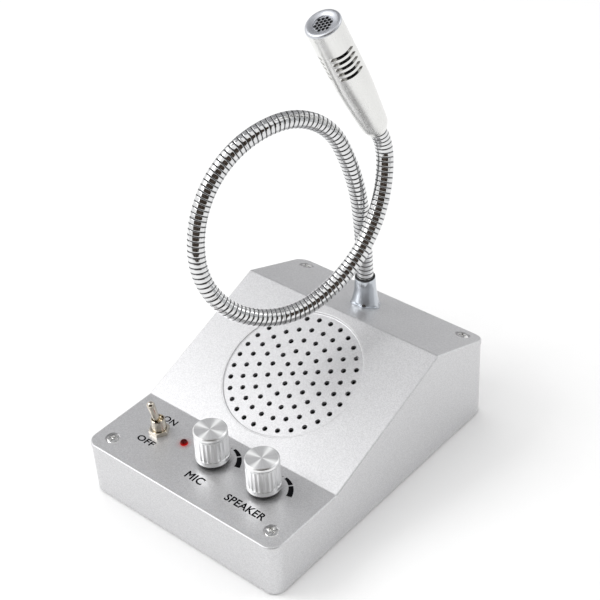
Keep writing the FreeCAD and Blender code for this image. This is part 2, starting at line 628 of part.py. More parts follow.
def level_control(name, x):
    """A potentiometer under the cover, and the knob on its shaft."""
    at = (x, FRONT + " + level_in", DECK)
    under = "-cover_thickness"
    pot = Piece(name + "_pot", at=at)
    pot.turned([
        ("0", under + " - pot_height"), ("pot_radius", under + " - pot_height"),
        ("pot_radius", under), ("pot_bush_radius", under), ("pot_bush_radius", "pot_bush_rise"),
        ("shaft_bore", "pot_bush_rise"), ("shaft_bore", under + " - shaft_sunk"),
        ("0", under + " - shaft_sunk")])
    lugs = pot.sketch(at=("0", "0", under + " - pot_height"))
    for step in ("-pot_lug_pitch", "0", "pot_lug_pitch"):
        pot.box(lugs, step + " - pot_lug_width / 2", "-pot_radius - pot_lug_length",
                step + " + pot_lug_width / 2", "-pot_radius + 2 * pot_lug_width")
    pot.pad(lugs, "pot_lug_thickness")
    nut = Piece(name + "_nut", at=at)
    drawing = nut.hexagon(nut.sketch(), "pot_nut_flats")
    nut.circle(drawing, "pot_bush_radius + fit_gap")
    nut.pad(drawing, "pot_nut_height")
    shaft = Piece(name + "_shaft", at=at)
    shaft.turned([
        ("0", under + " - shaft_sunk + running_gap"), ("shaft_radius", under + " - shaft_sunk + running_gap"),
        ("shaft_radius", "shaft_rise"), ("0", "shaft_rise")])
    knob(name, at)


def knob(name, at):
    """The knob: a black moulded core with a skirt, under a fluted aluminium cap."""
    core = Piece(name + "_knob_core", at=at)
    crown = "knob_height - knob_top_thickness"
    skirt_top = "(knob_lift + skirt_height)"
    core.turned([
        ("knob_pocket_radius", "knob_lift"), ("skirt_radius", "knob_lift"),
        ("skirt_radius", skirt_top), ("knob_core_radius", skirt_top), ("knob_core_radius", crown),
        ("0", crown), ("0", "shaft_rise"), ("shaft_radius", "shaft_rise"),
        ("shaft_radius", "knob_lift + knob_pocket_height"),
        ("knob_pocket_radius", "knob_lift + knob_pocket_height")])
    cap = Piece(name + "_knob_cap", at=at)
    groove = "knob_height - knob_groove_below"
    band_top = skirt_top + " + band_height"
    cap.turned([
        ("knob_core_radius", skirt_top), ("band_radius", skirt_top), ("band_radius", band_top),
        ("knob_radius", band_top + " + band_radius - knob_radius"),
        ("knob_radius", groove + " - knob_groove"), ("knob_radius - knob_groove", groove),
        ("knob_radius", groove + " + knob_groove"), ("knob_radius", "knob_height - knob_chamfer"),
        ("knob_radius - knob_chamfer", "knob_height"), ("0", "knob_height"), ("0", crown),
        ("knob_core_radius", crown)])
    start = band_top + " + flute_radius"
    flute = cap.sketch(at=("0", "0", start))
    cap.circle(flute, "flute_radius", "0", "knob_radius + flute_radius - flute_depth")
    cut = cap.pocket(flute, "%s - 2 * knob_groove - (%s)" % (groove, start), Reversed=True)
    cap.around(cut, SIZES["flute_count"])


def toggle_switch():
    """The switch: body and bushing under and through the cover, nut, lever and its pin."""
    at = ("toggle_x", FRONT + " + toggle_in", DECK)
    under = "-cover_thickness"
    plate_foot = under + " - toggle_plate"
    pivot = "(bush_rise - pivot_below_mouth)"
    bush = Piece("toggle_bushing", at=at)
    plate = bush.sketch(at=("0", "0", under))
    bush.box(plate, "-toggle_width / 2", "-toggle_length / 2", "toggle_width / 2", "toggle_length / 2")
    bush.pad(plate, "toggle_plate", Reversed=True)
    bush.pad(bush.circle(bush.sketch(at=("0", "0", under)), "bush_radius"), "bush_rise + cover_thickness")
    bore = bush.sketch(at=("0", "0", "bush_rise"))
    bush.pocket(bush.circle(bore, "bush_bore"), "bush_rise + cover_thickness + toggle_plate + overrun")
    bush.pocket(bush.circle(bush.sketch("YZ_Plane"), "toggle_pin_radius", "0", pivot), Midplane=True)
    body = Piece("toggle_body", at=at)
    case = body.sketch(at=("0", "0", plate_foot))
    body.box(case, "-toggle_width / 2", "-toggle_length / 2", "toggle_width / 2", "toggle_length / 2")
    body.pad(case, "toggle_depth", Reversed=True)
    well = body.sketch(at=("0", "0", plate_foot))
    body.box(well, "-toggle_well_width / 2", "-toggle_well_length / 2",
             "toggle_well_width / 2", "toggle_well_length / 2")
    body.pocket(well, "toggle_well_depth")
    terminals = Piece("toggle_terminals", at=at)
    drawing = terminals.sketch(at=("0", "0", plate_foot + " - toggle_depth"))
    for step in ("-terminal_pitch", "0", "terminal_pitch"):
        terminals.box(drawing, "-terminal_thickness / 2", step + " - terminal_width / 2",
                      "terminal_thickness / 2", step + " + terminal_width / 2")
    terminals.pad(drawing, "terminal_length", Reversed=True)
    nut = Piece("toggle_nut", at=at)
    drawing = nut.hexagon(nut.sketch(), "toggle_nut_flats")
    nut.circle(drawing, "bush_radius + fit_gap")
    nut.pad(drawing, "toggle_nut_height")
    pin = Piece("toggle_pin", at=at)
    drawing = pin.circle(pin.sketch("YZ_Plane"), "toggle_pin_radius", "0", pivot)
    pin.pad(drawing, "toggle_pin_length", Midplane=True)
    lever = Piece("toggle_lever", at=(at[0], at[1], DECK + " + " + pivot), tilt="toggle_lean")
    tip = (("lever_tip", "lever_length - lever_tip"), ("0", "lever_length"))
    ball = [("lever_ball * %r" % across, "lever_ball * %r" % up) for across, up in BALL_SHARES]
    lever.turned([("0", "-lever_tail"), ("lever_tail_radius", "-lever_tail"),
                  ("lever_tail_radius", "-lever_ball")] + ball
                 + [("lever_root", "lever_ball"), tip[0]] + between(*tip, ROUND_END_SHARES) + [tip[1]])
    hole = lever.circle(lever.sketch("YZ_Plane"), "toggle_pin_radius + 2 * fit_gap")
    lever.pocket(hole, Midplane=True)


def power_light():
    """The red light in the deck, on a spacer that stands on the board."""
    at = ("led_x", FRONT + " + led_in", DECK)
    under = "-cover_thickness"
    led = Piece("power_led", at=at)
    dome = (("led_radius", "led_rise - led_radius"), ("0", "led_rise"))
    led.turned([
        ("0", under + " - led_rim_height"), ("led_rim", under + " - led_rim_height"),
        ("led_rim", under), ("led_radius", under), dome[0]] + between(*dome, ROUND_END_SHARES)
        + [dome[1]])
    spacer = Piece("led_spacer", at=(at[0], at[1], BOARD_TOP))
    drawing = spacer.circle(spacer.sketch(), "spacer_radius")
    spacer.circle(drawing, "spacer_bore")
    spacer.pad(drawing, "%s - led_rim_height - %s" % (UNDER_DECK, BOARD_TOP))


def back_socket(label, x, width, length, height, nose, bore, depth):
    """A socket on the board's edge, with its nose flush in the back wall."""
    outer = BACK + " - cover_overhang"
    piece = Piece(label, at=(x, outer, BOARD_TOP + " + socket_rise"))
    block = piece.sketch("XZ_Plane", at=("0", "0", "wall"))
    piece.box(block, "-%s / 2" % width, "-socket_rise", "%s / 2" % width, "%s - socket_rise" % height)
    piece.pad(block, length)
    collar = piece.sketch("XZ_Plane", at=("0", "0", "wall"))
    piece.pad(piece.circle(collar, nose), "wall", Reversed=True)
    piece.pocket(piece.circle(piece.sketch("XZ_Plane"), bore), depth, Reversed=True)
    return piece


def back_sockets():
    """The power inlet, with its pin, and the two small jacks."""
    power = back_socket("dc_jack", "dc_x", "dc_width", "dc_length", "dc_height", "dc_nose",
                        "dc_bore", "dc_bore_depth")
    pin = power.sketch("XZ_Plane", at=("0", "0", "dc_bore_depth"))
    power.pad(power.circle(pin, "dc_pin"), "dc_bore_depth - wall", Reversed=True)
    for label, x in (("window_unit_jack", "jack_x"), ("record_jack", "record_x")):
        back_socket(label, x, "jack_width", "jack_length", "jack_height", "jack_nose",
                    "jack_bore", "jack_bore_depth")


def neck_socket():
    """The plated socket that holds the neck: upright, on a hexagon seated on the sloping deck."""
    at = ("0", NECK_Y, NECK_DECK)
    deck_tilt = "-" + REAR
    socket = Piece("neck_socket", at=at)
    flare = (("socket_foot_radius", "socket_hex_height"),
             ("socket_waist_radius", "socket_hex_height + socket_flare"))
    socket.turned([("0", "-overrun"), ("socket_foot_radius", "-overrun"), flare[0]]
                  + between(*flare, FLARE_SHARES)
                  + [flare[1], ("socket_top_radius", "socket_height"), ("0", "socket_height")])
    below = socket.sketch(tilt=deck_tilt, at=("0", "0", "0"))
    socket.pocket(socket.circle(below, "2 * socket_foot_radius"), "2 * overrun")
    hexagon = socket.sketch(tilt=deck_tilt, at=("0", "0", "0"))
    socket.pad(socket.hexagon(hexagon, "socket_hex_flats"), "socket_hex_height")
    tail = socket.sketch(tilt=deck_tilt, at=("0", "0", "0"))
    socket.pad(socket.circle(tail, "tail_radius"), "tail_length", Reversed=True)
    for radius, depth in (("seal_radius", "seal_depth"), ("neck_crest + fit_gap", "socket_bore_depth"),
                          ("lead_bore", "socket_height + tail_length + overrun")):
        mouth = socket.sketch(at=("0", "0", "socket_height"))
        socket.pocket(socket.circle(mouth, radius), depth)
    nut = Piece("neck_socket_nut", at=sunk(at, deck_tilt, "cover_thickness"), tilt=deck_tilt)
    drawing = nut.hexagon(nut.sketch(), "socket_nut_flats")
    nut.circle(drawing, "tail_radius + fit_gap")
    nut.pad(drawing, "socket_nut_height", Reversed=True)
    seal = Piece("neck_seal_ring", at=at)
    drawing = seal.sketch(at=("0", "0", "socket_height - seal_depth"))
    seal.circle(drawing, "seal_radius")
    seal.circle(drawing, "neck_crest + fit_gap")
    seal.pad(drawing, "seal_depth + seal_proud")


def heading(number):
    """The direction of the neck at the end of a stretch; the neck leaves its socket upright."""
    if number < 0:
        return FreeCAD.Vector(0, 0, 1)
    compass, rise = [math.radians(angle) for angle in NECK_HEADINGS[number]]
    return FreeCAD.Vector(math.cos(compass) * math.cos(rise), math.sin(compass) * math.cos(rise),
                          math.sin(rise))


class Stretch:
    """One arc of the neck, tangent to its neighbours."""

    def __init__(self, start, number, length):
        self.start = start
        self.along = heading(number - 1)
        self.bend = self.along.getAngle(heading(number))
        self.length = length
        self.hinge = self.along.cross(heading(number)).normalize()
        self.inward = self.hinge.cross(self.along)
        self.radius = length / self.bend

    def frame(self, distance):
        """The point and the direction at a distance along the arc."""
        angle = distance / self.radius
        point = (self.start + self.along * (self.radius * math.sin(angle))
                 + self.inward * (self.radius * (1 - math.cos(angle))))
        return point, self.along * math.cos(angle) + self.inward * math.sin(angle)


def neck_stretches():
    """Every arc of the neck, from the socket to the microphone."""
    spot = FreeCAD.Vector(value("0"), value(NECK_Y), value(NECK_DECK + " + socket_height"))
    stretches = []
    for number in range(len(NECK_HEADINGS)):
        last = number == len(NECK_HEADINGS) - 1
        stretch = Stretch(spot, number, SIZES["neck_end_stretch" if last else "neck_stretch"])
        stretches.append(stretch)
        spot = stretch.frame(stretch.length)[0]
    return stretches


def facet_ring(stretch, distance, radius, beyond=0):
    """The corners of a many-sided section of the neck, square to its run or to its end's line."""
    point, direction = stretch.frame(distance)
    point = point + direction * beyond
    count = SIZES["neck_facets"]
    side = direction.cross(stretch.hinge)
    angles = [2 * math.pi * index / count for index in range(count)]
    return [point + (stretch.hinge * math.cos(angle) + side * math.sin(angle)) * radius
            for angle in angles]


def rib_rings(stretch, start, end, ribs):
    """The sections of the ribbed winding: crests at both ends, a valley between each."""
    pitch = (end - start) / ribs
    radii = (SIZES["neck_crest"], SIZES["neck_valley"])
    return [facet_ring(stretch, start + index * pitch / 2, radii[index % 2])
            for index in range(2 * ribs + 1)]


def ball_rings(stretch, distance, radius, lowest):
    """The sections of a ball, from a lowest height up to its end."""
    heights = [radius * math.sin(math.radians(angle)) for angle in BALL_ANGLES]
    heights = [lowest] + [height for height in heights if height > lowest]
    return [facet_ring(stretch, distance, math.sqrt(radius ** 2 - height ** 2), height)
            for height in heights]


def skinned(rings):
    """A closed solid over flat triangles between the sections."""
    flats = [rings[0], rings[-1]]
    for low, high in zip(rings, rings[1:]):
        for index, corner in enumerate(low):
            after = (index + 1) % len(low)
            flats.append([corner, low[after], high[index]])
            flats.append([low[after], high[after], high[index]])
    faces = [Part.Face(Part.makePolygon(corners + corners[:1])) for corners in flats]
    return Part.makeSolid(Part.makeShell(faces))


def neck():
    """The gooseneck in links that meet as a ball and a cup, half a rib either side of each joint."""
    stretches = neck_stretches()
    tail = stretches.pop()
    half_rib = SIZES["neck_stretch"] / SIZES["neck_ribs"] / 2
    plug = SIZES["neck_crest"] - SIZES["fit_gap"]
    for number, stretch in enumerate(stretches):
        first, last = number == 0, number == len(stretches) - 1
        start = 0 if first else half_rib
        end = stretch.length if last else stretch.length - half_rib
        ribs = round((end - start) / (2 * half_rib))
        if first:
            rings = [facet_ring(stretch, 0, plug, -SIZES["neck_plug"]), facet_ring(stretch, 0, plug)]
        else:
            rings = ball_rings(stretch, 0, SIZES["neck_cup"], half_rib)[::-1]
        rings += rib_rings(stretch, start, end, ribs)
        if last:
            rings += rib_rings(tail, 0, tail.length, SIZES["neck_end_ribs"])[1:]
            rings += [facet_ring(tail, tail.length, plug),
                      facet_ring(tail, tail.length, plug, SIZES["mic_plug"])]
        else:
            rings += ball_rings(stretch, stretch.length, SIZES["neck_ball"], -half_rib)
        link = DOC.addObject("Part::Feature", "neck_link_%d" % number)
        link.Label = "neck_link_%d" % number
        link.Shape = skinned(rings)
        PIECES.append(link)
        print(link.Label, "radius of its bend", round(stretch.radius, 1))
    return tail.frame(tail.length)


def mic_piece(label, spot):
    """A body set at the end of the neck, with its Z along the neck's end."""
    point, direction = spot
    piece = Piece(label, at=None)
    turn = FreeCAD.Rotation(FreeCAD.Vector(0, 0, 1), SIZES["mic_turn"])
    piece.body.Placement = FreeCAD.Placement(
        point, FreeCAD.Rotation(FreeCAD.Vector(0, 0, 1), direction) * turn)
    return piece


def microphone(spot):
    """The head: a turned shell with cross slots, a pierced end disc, and the capsule in its cradle."""
    shell = mic_piece("mic_shell", spot)
    inner = "(mic_radius - mic_wall)"
    taper = (("mic_shoulder_radius", "mic_shoulder"), ("mic_radius", "mic_taper"))
    rim = (("mic_radius", "mic_length - mic_end_round"), ("mic_radius - mic_end_round", "mic_length"))
    shell.turned([("neck_crest + fit_gap", "0"), ("mic_neck_radius", "0"), taper[0]]
                 + between(*taper, MIC_TAPER_SHARES) + [taper[1], rim[0]]
                 + between(*rim, ROUND_END_SHARES) + [
                     rim[1], (inner, "mic_length"), (inner, "mic_taper"),
                     ("neck_crest + fit_gap", "mic_plug + mic_wall")])
    for row in range(SIZES["mic_slot_rows"]):
        at = ("0", "0", "mic_slot_first + %d * mic_slot_pitch" % row)
        slot = shell.sketch(at=at)
        shell.box(slot, "0", "-mic_slot_chord / 2", "2 * mic_radius", "mic_slot_chord / 2")
        cut = shell.pocket(slot, "mic_slot_width", Midplane=True)
        shell.around(cut, SIZES["mic_slot_columns"])
    disc = mic_piece("mic_end_disc", spot)
    face = disc.sketch(at=("0", "0", "mic_length - mic_disc_inset"))
    disc.circle(face, inner + " - fit_gap")
    disc.circle(face, "mic_hole_radius")
    for ring_number, steps in ((1, 6), (2, 12)):
        for step in range(steps):
            x, y = hole_spot(ring_number, step)
            disc.circle(face, "mic_hole_radius", "mic_hole_pitch * %r" % x, "mic_hole_pitch * %r" % y)
    disc.pad(face, "mic_disc_thickness", Reversed=True)
    foot = "mic_length - mic_disc_inset - mic_disc_thickness - capsule_gap"
    capsule = mic_piece("mic_capsule", spot)
    capsule.pad(capsule.circle(capsule.sketch(at=("0", "0", foot)), "capsule_radius"),
                "capsule_length", Reversed=True)
    cradle = mic_piece("mic_cradle", spot)
    drawing = cradle.sketch(at=("0", "0", foot))
    cradle.circle(drawing, inner + " - fit_gap")
    cradle.circle(drawing, "capsule_radius + fit_gap")
    cradle.pad(drawing, "cradle_length", Reversed=True)


def hole_spot(ring_number, step):
    """A place on a honeycomb ring, in pitches."""
    side, along = divmod(step, ring_number)
    angles = [math.radians(60 * side), math.radians(60 * (side + 1))]
    share = along / ring_number
    x, y = [ring_number * ((1 - share) * turn(angles[0]) + share * turn(angles[1]))
            for turn in (math.cos, math.sin)]
    return round(x, 4), round(y, 4)


def check_and_write():
    """Stop on any failed object, then write each piece to its own file."""
    DOC.recompute()
    for thing in DOC.Objects:
        if set(thing.State) & {"Invalid", "Error"}:
            raise RuntimeError("%s (%s) failed: %s" % (thing.Label, thing.Name, thing.State))
    for piece in PIECES:
        if piece.Shape.isNull() or not piece.Shape.isValid():
            raise RuntimeError("%s has no valid shape" % piece.Label)
    os.makedirs("parts", exist_ok=True)
    for piece in PIECES:
        piece.Shape.exportStep("parts/%s.step" % piece.Label)
        print(piece.Label, len(piece.Shape.Solids), "solids", round(piece.Shape.Volume, 1), "mm3")


fill_sheet()
housing()
rubber_feet()
top_cover()
cover_screws()
speaker()
circuit_board()
level_control("mic_level", "mic_level_x")
level_control("speaker_level", "speaker_level_x")
toggle_switch()
power_light()
back_sockets()
neck_socket()
microphone(neck())
check_and_write()
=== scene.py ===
import json
import math

import bmesh
import bpy
from bpy.props import FloatProperty, FloatVectorProperty, IntProperty, PointerProperty
from mathutils import Matrix, Vector


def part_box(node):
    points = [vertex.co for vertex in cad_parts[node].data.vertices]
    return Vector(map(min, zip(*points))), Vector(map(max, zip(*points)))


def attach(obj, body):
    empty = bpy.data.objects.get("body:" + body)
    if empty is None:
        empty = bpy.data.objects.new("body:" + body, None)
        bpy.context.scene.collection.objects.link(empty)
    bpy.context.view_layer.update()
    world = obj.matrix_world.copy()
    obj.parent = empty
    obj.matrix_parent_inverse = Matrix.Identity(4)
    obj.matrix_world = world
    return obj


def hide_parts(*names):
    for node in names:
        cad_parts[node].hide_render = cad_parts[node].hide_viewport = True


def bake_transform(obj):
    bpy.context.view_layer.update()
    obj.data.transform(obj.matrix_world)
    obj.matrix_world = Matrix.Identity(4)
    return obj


bl_info = {
    "name": "Counter Intercom",
    "version": (1, 0, 0),
    "blender": (4, 5, 0),
    "location": "View3D > Sidebar > Intercom",
    "description": "Dresses the counter intercom: case, knobs, switch, gooseneck and microphone",
    "category": "Object",
}

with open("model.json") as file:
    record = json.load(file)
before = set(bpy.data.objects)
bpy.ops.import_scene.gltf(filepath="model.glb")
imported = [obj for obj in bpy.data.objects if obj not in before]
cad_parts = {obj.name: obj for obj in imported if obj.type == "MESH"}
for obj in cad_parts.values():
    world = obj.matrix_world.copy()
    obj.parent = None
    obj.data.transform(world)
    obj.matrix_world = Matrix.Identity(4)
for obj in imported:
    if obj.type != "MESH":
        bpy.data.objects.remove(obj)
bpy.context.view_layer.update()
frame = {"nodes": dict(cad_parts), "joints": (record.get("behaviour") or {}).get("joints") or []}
NODES = frame["nodes"]
JOINTS = {joint["name"]: joint for joint in frame["joints"]}

UP = Vector((0, 0, 1))
MM = 0.001
TINY = 1e-7
# Faces that meet at more than this are shaded with a sharp edge between them.
EDGE = math.radians(30)


def box(name):
    """The lowest and highest corners of a node."""
    low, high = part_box(name)
    return Vector(low), Vector(high)


# Places that come from the frame.
FRONT = box("top_cover")[0].y
KNOB_LOW, KNOB_HIGH = box("mic_level_knob_cap")
CORE_LOW, CORE_HIGH = box("mic_level_knob_core")
DECK = box("toggle_nut")[0].z
LEVEL_CONTROLS = {"mic_level": "mic_level_knob", "speaker_level": "speaker_level_knob"}


# Settings

class CaseSettings(bpy.types.PropertyGroup):
    """The case's paint and what is printed on it."""

    paint: FloatVectorProperty(
        name="Paint", description="Colour of the metallic paint", subtype="COLOR",
        default=(0.67, 0.67, 0.68), min=0, max=1)
    flake: FloatProperty(
        name="Flake", description="Size of the grain in the paint", default=0.00035, unit="LENGTH")
    ink: FloatVectorProperty(
        name="Ink", description="Colour of the printed words", subtype="COLOR",
        default=(0.006, 0.006, 0.007), min=0, max=1)
    print_height: FloatProperty(
        name="Print height", description="Thickness of the printing ink", default=0.00003,
        unit="LENGTH")
    rim_width: FloatProperty(
        name="Grille rim", description="Width of the rounded rim round the grille",
        default=0.0011, unit="LENGTH")


class KnobSettings(bpy.types.PropertyGroup):
    """The two level knobs."""

    flutes: IntProperty(name="Flutes", description="Hollows round a knob", default=24, min=6)
    flute_depth: FloatProperty(
        name="Flute depth", description="How deep a hollow is", default=0.0002, unit="LENGTH")
    band_height: FloatProperty(
        name="Band height", description="Height of the plain band at the foot", default=0.0024,
        unit="LENGTH")
    groove: FloatProperty(
        name="Groove", description="Depth of the ring cut below the top", default=0.00028,
        unit="LENGTH")
    groove_below: FloatProperty(
        name="Groove below top", description="How far the ring lies under the top",
        default=0.0019, unit="LENGTH")
    chamfer: FloatProperty(
        name="Chamfer", description="Bevel round the top face", default=0.00055, unit="LENGTH")
    dish: FloatProperty(
        name="Dish", description="How far the turned top sinks to its middle", default=0.00012,
        unit="LENGTH")


class SwitchSettings(bpy.types.PropertyGroup):
    """The toggle switch and the light beside it."""

    thread_pitch: FloatProperty(
        name="Thread pitch", description="Pitch of the bushing's thread", default=0.00075,
        unit="LENGTH")
    thread_depth: FloatProperty(
        name="Thread depth", description="Depth of the bushing's thread", default=0.0001,
        unit="LENGTH")
    glow: FloatProperty(
        name="Glow", description="Brightness of the light's lens", default=0.6, min=0)


class NeckSettings(bpy.types.PropertyGroup):
    """The winding of the gooseneck."""

    crest: FloatProperty(
        name="Crest radius", description="Radius over the ribs", default=0.0039, unit="LENGTH")
    groove: FloatProperty(
        name="Groove depth", description="Depth between the ribs", default=0.0004, unit="LENGTH")
    ribs_per_link: IntProperty(
        name="Ribs per link", description="Turns of the winding in a link", default=16, min=4)
    samples: IntProperty(
        name="Rings per rib", description="Rings of the mesh in each rib", default=17, min=4)
    facets: IntProperty(
        name="Facets", description="Sides of the winding's section", default=40, min=8)
    fullness: FloatProperty(
        name="Fullness", description="How broad a rib's crest is", default=9.0, min=1)


class MicSettings(bpy.types.PropertyGroup):
    """The microphone's slots and its end disc."""

    slot_columns: IntProperty(
        name="Slot columns", description="Columns of slots round the shell", default=3, min=1)
    slot_rows: IntProperty(name="Slot rows", description="Slots in a column", default=5, min=1)
    slot_first: FloatProperty(
        name="First slot", description="From the shell's foot to the first slot", default=0.0432,
        unit="LENGTH")
    slot_pitch: FloatProperty(
        name="Slot pitch", description="From one slot to the next", default=0.0029, unit="LENGTH")
    slot_width: FloatProperty(
        name="Slot width", description="Width of the saw", default=0.0016, unit="LENGTH")
    slot_depth: FloatProperty(
        name="Slot floor", description="From the axis to the flat floor of a slot", default=0.00555,
        unit="LENGTH")
    hole_radius: FloatProperty(
        name="Hole radius", description="Radius of the holes in the end disc", default=0.00078,
        unit="LENGTH")
    hole_pitch: FloatProperty(
        name="Hole pitch", description="Distance between the holes", default=0.0017,
        unit="LENGTH")


class StageSettings(bpy.types.PropertyGroup):
    """The camera, the floor and the light."""

    azimuth: FloatProperty(
        name="Azimuth", description="Where the camera stands, from the front",
        default=math.radians(42.20), subtype="ANGLE")
    elevation: FloatProperty(
        name="Elevation", description="How far the camera looks down",
        default=math.radians(36.50), subtype="ANGLE")
    roll: FloatProperty(
        name="Roll", description="How far the camera is turned about its view",
        default=math.radians(-3.49), subtype="ANGLE")
    distance: FloatProperty(
        name="Distance", description="From the camera to its target", default=0.59577,
        unit="LENGTH")
    target: FloatVectorProperty(
        name="Target", description="What the camera looks at", subtype="TRANSLATION",
        default=(0.00982, 0, 0.08893))
    lens: FloatProperty(
        name="Lens", description="Focal length for a 36 mm sensor", default=84.73, unit="CAMERA")
    sky: FloatProperty(
        name="Sky", description="Brightness of the light from all round", default=0.72, min=0)
    key: FloatProperty(
        name="Key", description="Strength of the distant lights", default=1.0, min=0)
    softbox: FloatProperty(
        name="Softbox", description="Power of the soft light at the left", default=2.2, min=0,
        unit="POWER")


def settings(name):
    """One group of the object's settings."""
    return getattr(bpy.context.scene, "intercom_" + name)


# Node trees

class Wire:
    """A socket of a node tree, with sums, products and powers that add maths nodes."""

    def __init__(self, tree, socket):
        self.tree = tree
        self.socket = socket

    def maths(self, operation, *others):
        """A maths node on this value and others."""
        return self.tree.node("ShaderNodeMath", {"operation": operation}, (self,) + others)

    def __add__(self, other):
        return self.maths("ADD", other)

    __radd__ = __add__

    def __sub__(self, other):
        return self.maths("SUBTRACT", other)

    def __rsub__(self, other):
        return self.tree.node("ShaderNodeMath", {"operation": "SUBTRACT"}, (other, self))

    def __mul__(self, other):
        return self.maths("MULTIPLY", other)

    __rmul__ = __mul__

    def __truediv__(self, other):
        return self.maths("DIVIDE", other)

    def __rtruediv__(self, other):
        return self.tree.node("ShaderNodeMath", {"operation": "DIVIDE"}, (other, self))

    def __pow__(self, other):
        return self.maths("POWER", other)

    def __abs__(self):
        return self.maths("ABSOLUTE")

    def fraction(self):
        return self.maths("FRACT")

    def clamped(self):
        """The value, kept from 0 to 1."""
        return self.maths("MAXIMUM", 0).maths("MINIMUM", 1)


class Tree:
    """A node tree that is built by naming its nodes."""

    def __init__(self, group):
        self.group = group
        group.nodes.clear()

    def node(self, kind, options=None, inputs=(), output=0):
        """Add a node: its options first, then values or wires for its sockets."""
        made = self.group.nodes.new(kind)
        for name, option in (options or {}).items():
            setattr(made, name, option)
        pairs = inputs.items() if isinstance(inputs, dict) else enumerate(inputs)
        for key, given in pairs:
            self.feed(made.inputs[key], given)
        return Wire(self, made.outputs[output]) if made.outputs else made

    def feed(self, socket, given):
        """Link a wire to a socket, or set the socket's own value."""
        if isinstance(given, Wire):
            self.group.links.new(given.socket, socket)
        elif given is not None:
            socket.default_value = given

    def vector(self, operation, *inputs, output=0):
        """A vector maths node."""
        return self.node("ShaderNodeVectorMath", {"operation": operation}, inputs, output)

    def other(self, wire, name):
        """Another output of the node that a wire comes from."""
        return Wire(self, wire.socket.node.outputs[name])


class Finish(Tree):
    """A material on the principled shader."""

    def __init__(self, name):
        self.material = bpy.data.materials.new(name)
        self.material.use_nodes = True
        super().__init__(self.material.node_tree)
        self.shader = self.group.nodes.new("ShaderNodeBsdfPrincipled")
        end = self.group.nodes.new("ShaderNodeOutputMaterial")
        self.group.links.new(self.shader.outputs["BSDF"], end.inputs["Surface"])
        place = self.group.nodes.new("ShaderNodeTexCoord")
        self.spot = Wire(self, place.outputs["Object"])

    def set(self, **sockets):
        """Feed sockets of the shader, named with underscores for spaces."""
        for name, given in sockets.items():
            self.feed(self.shader.inputs[name.replace("_", " ")], given)
        return self

    def local(self, place, stretch=(1, 1, 1)):
        """Coordinates in a piece's own frame, drawn out on each axis."""
        return self.node("ShaderNodeMapping", {"vector_type": "TEXTURE"}, {
            "Vector": self.spot, "Location": tuple(place.to_translation()),
            "Rotation": tuple(place.to_euler()), "Scale": stretch})

    def noise(self, size, detail=2, rough=0.5, spot=None):
        """A noise whose blotches are about a size across, from 0 to 1."""
        return self.node("ShaderNodeTexNoise", None, {
            "Vector": spot or self.spot, "Scale": 1 / size, "Detail": detail, "Roughness": rough})

    def mix(self, share, first, second):
        """A blend of two colours."""
        made = self.node("ShaderNodeMix", {"data_type": "RGBA"}, {"Factor": share}, 2)
        node = made.socket.node
        self.feed(node.inputs[6], opaque(first))
        self.feed(node.inputs[7], opaque(second))
        return made

    def bump(self, height, depth, under=None):
        """A normal from a height that runs from 0 to 1, over a depth in metres."""
        return self.node("ShaderNodeBump", None, {
            "Strength": 1, "Distance": depth, "Height": height, "Normal": under})


def opaque(colour):
    """A colour with its alpha, or a wire left as it is."""
    if isinstance(colour, Wire):
        return colour
    return tuple(colour)[:3] + (1,)


def shade(colour, factor):
    """A colour made lighter or darker."""
    return tuple(min(1, part * factor) for part in tuple(colour)[:3])


# Finishes

# How far from the red light its glow is painted red into the paint.
GLOW_REACH = 4.5 * MM


def silver_paint(name, colour, flake, light):
    """Metallic paint: fine flakes, a little orange peel, cloudy gloss, and the red light's glow
    painted into the paint round it.
    """
    finish = Finish(name)
    distance = finish.vector("DISTANCE", finish.spot, tuple(light), output="Value")
    near = (1 - distance / GLOW_REACH).maths("MAXIMUM", 0) ** 1.5 * 0.7
    cells = finish.node("ShaderNodeTexVoronoi", None,
                        {"Vector": finish.spot, "Scale": 1 / flake}, "Color")
    glint = finish.node("ShaderNodeSeparateColor", None, (cells,))
    cloud = finish.noise(0.03)
    peel = finish.noise(0.0009)
    tone = finish.mix(glint, shade(colour, 0.90), shade(colour, 1.10))
    # Painted glow: near the red light the paint's colour turns red.
    tone = finish.mix(near, tone, (0.55, 0.05, 0.04))
    finish.set(Base_Color=tone, Metallic=0.80, Roughness=0.40 + 0.05 * cloud + 0.05 * glint,
               Coat_Weight=0.30, Coat_Roughness=0.16,
               Normal=finish.bump(peel + 0.25 * glint, 0.000012))
    return finish.material


def plain_metal(name, colour, roughness, grain=0.0004, place=Matrix(), stretch=(1, 1, 1),
                depth=0.000004):
    """Bare or plated metal with fine tool marks, drawn out along an axis, and cloudy gloss."""
    finish = Finish(name)
    marks = finish.noise(grain, 3, 0.6, finish.local(place, stretch))
    cloud = finish.noise(0.012)
    tone = finish.mix(marks, shade(colour, 0.92), shade(colour, 1.05))
    finish.set(Base_Color=tone, Metallic=1.0, Roughness=roughness + 0.06 * cloud + 0.05 * marks,
               Normal=finish.bump(marks, depth))
    return finish.material


def chrome(name, tint, roughness=0.05):
    """Bright plating: nearly a mirror, with faint haze and specks."""
    finish = Finish(name)
    haze = finish.noise(0.006, 3)
    specks = finish.noise(0.0005, 2)
    tone = finish.mix(specks, shade(tint, 0.95), tint)
    finish.set(Base_Color=tone, Metallic=1.0, Roughness=roughness + 0.05 * haze + 0.03 * specks,
               Normal=finish.bump(specks, 0.000002))
    return finish.material


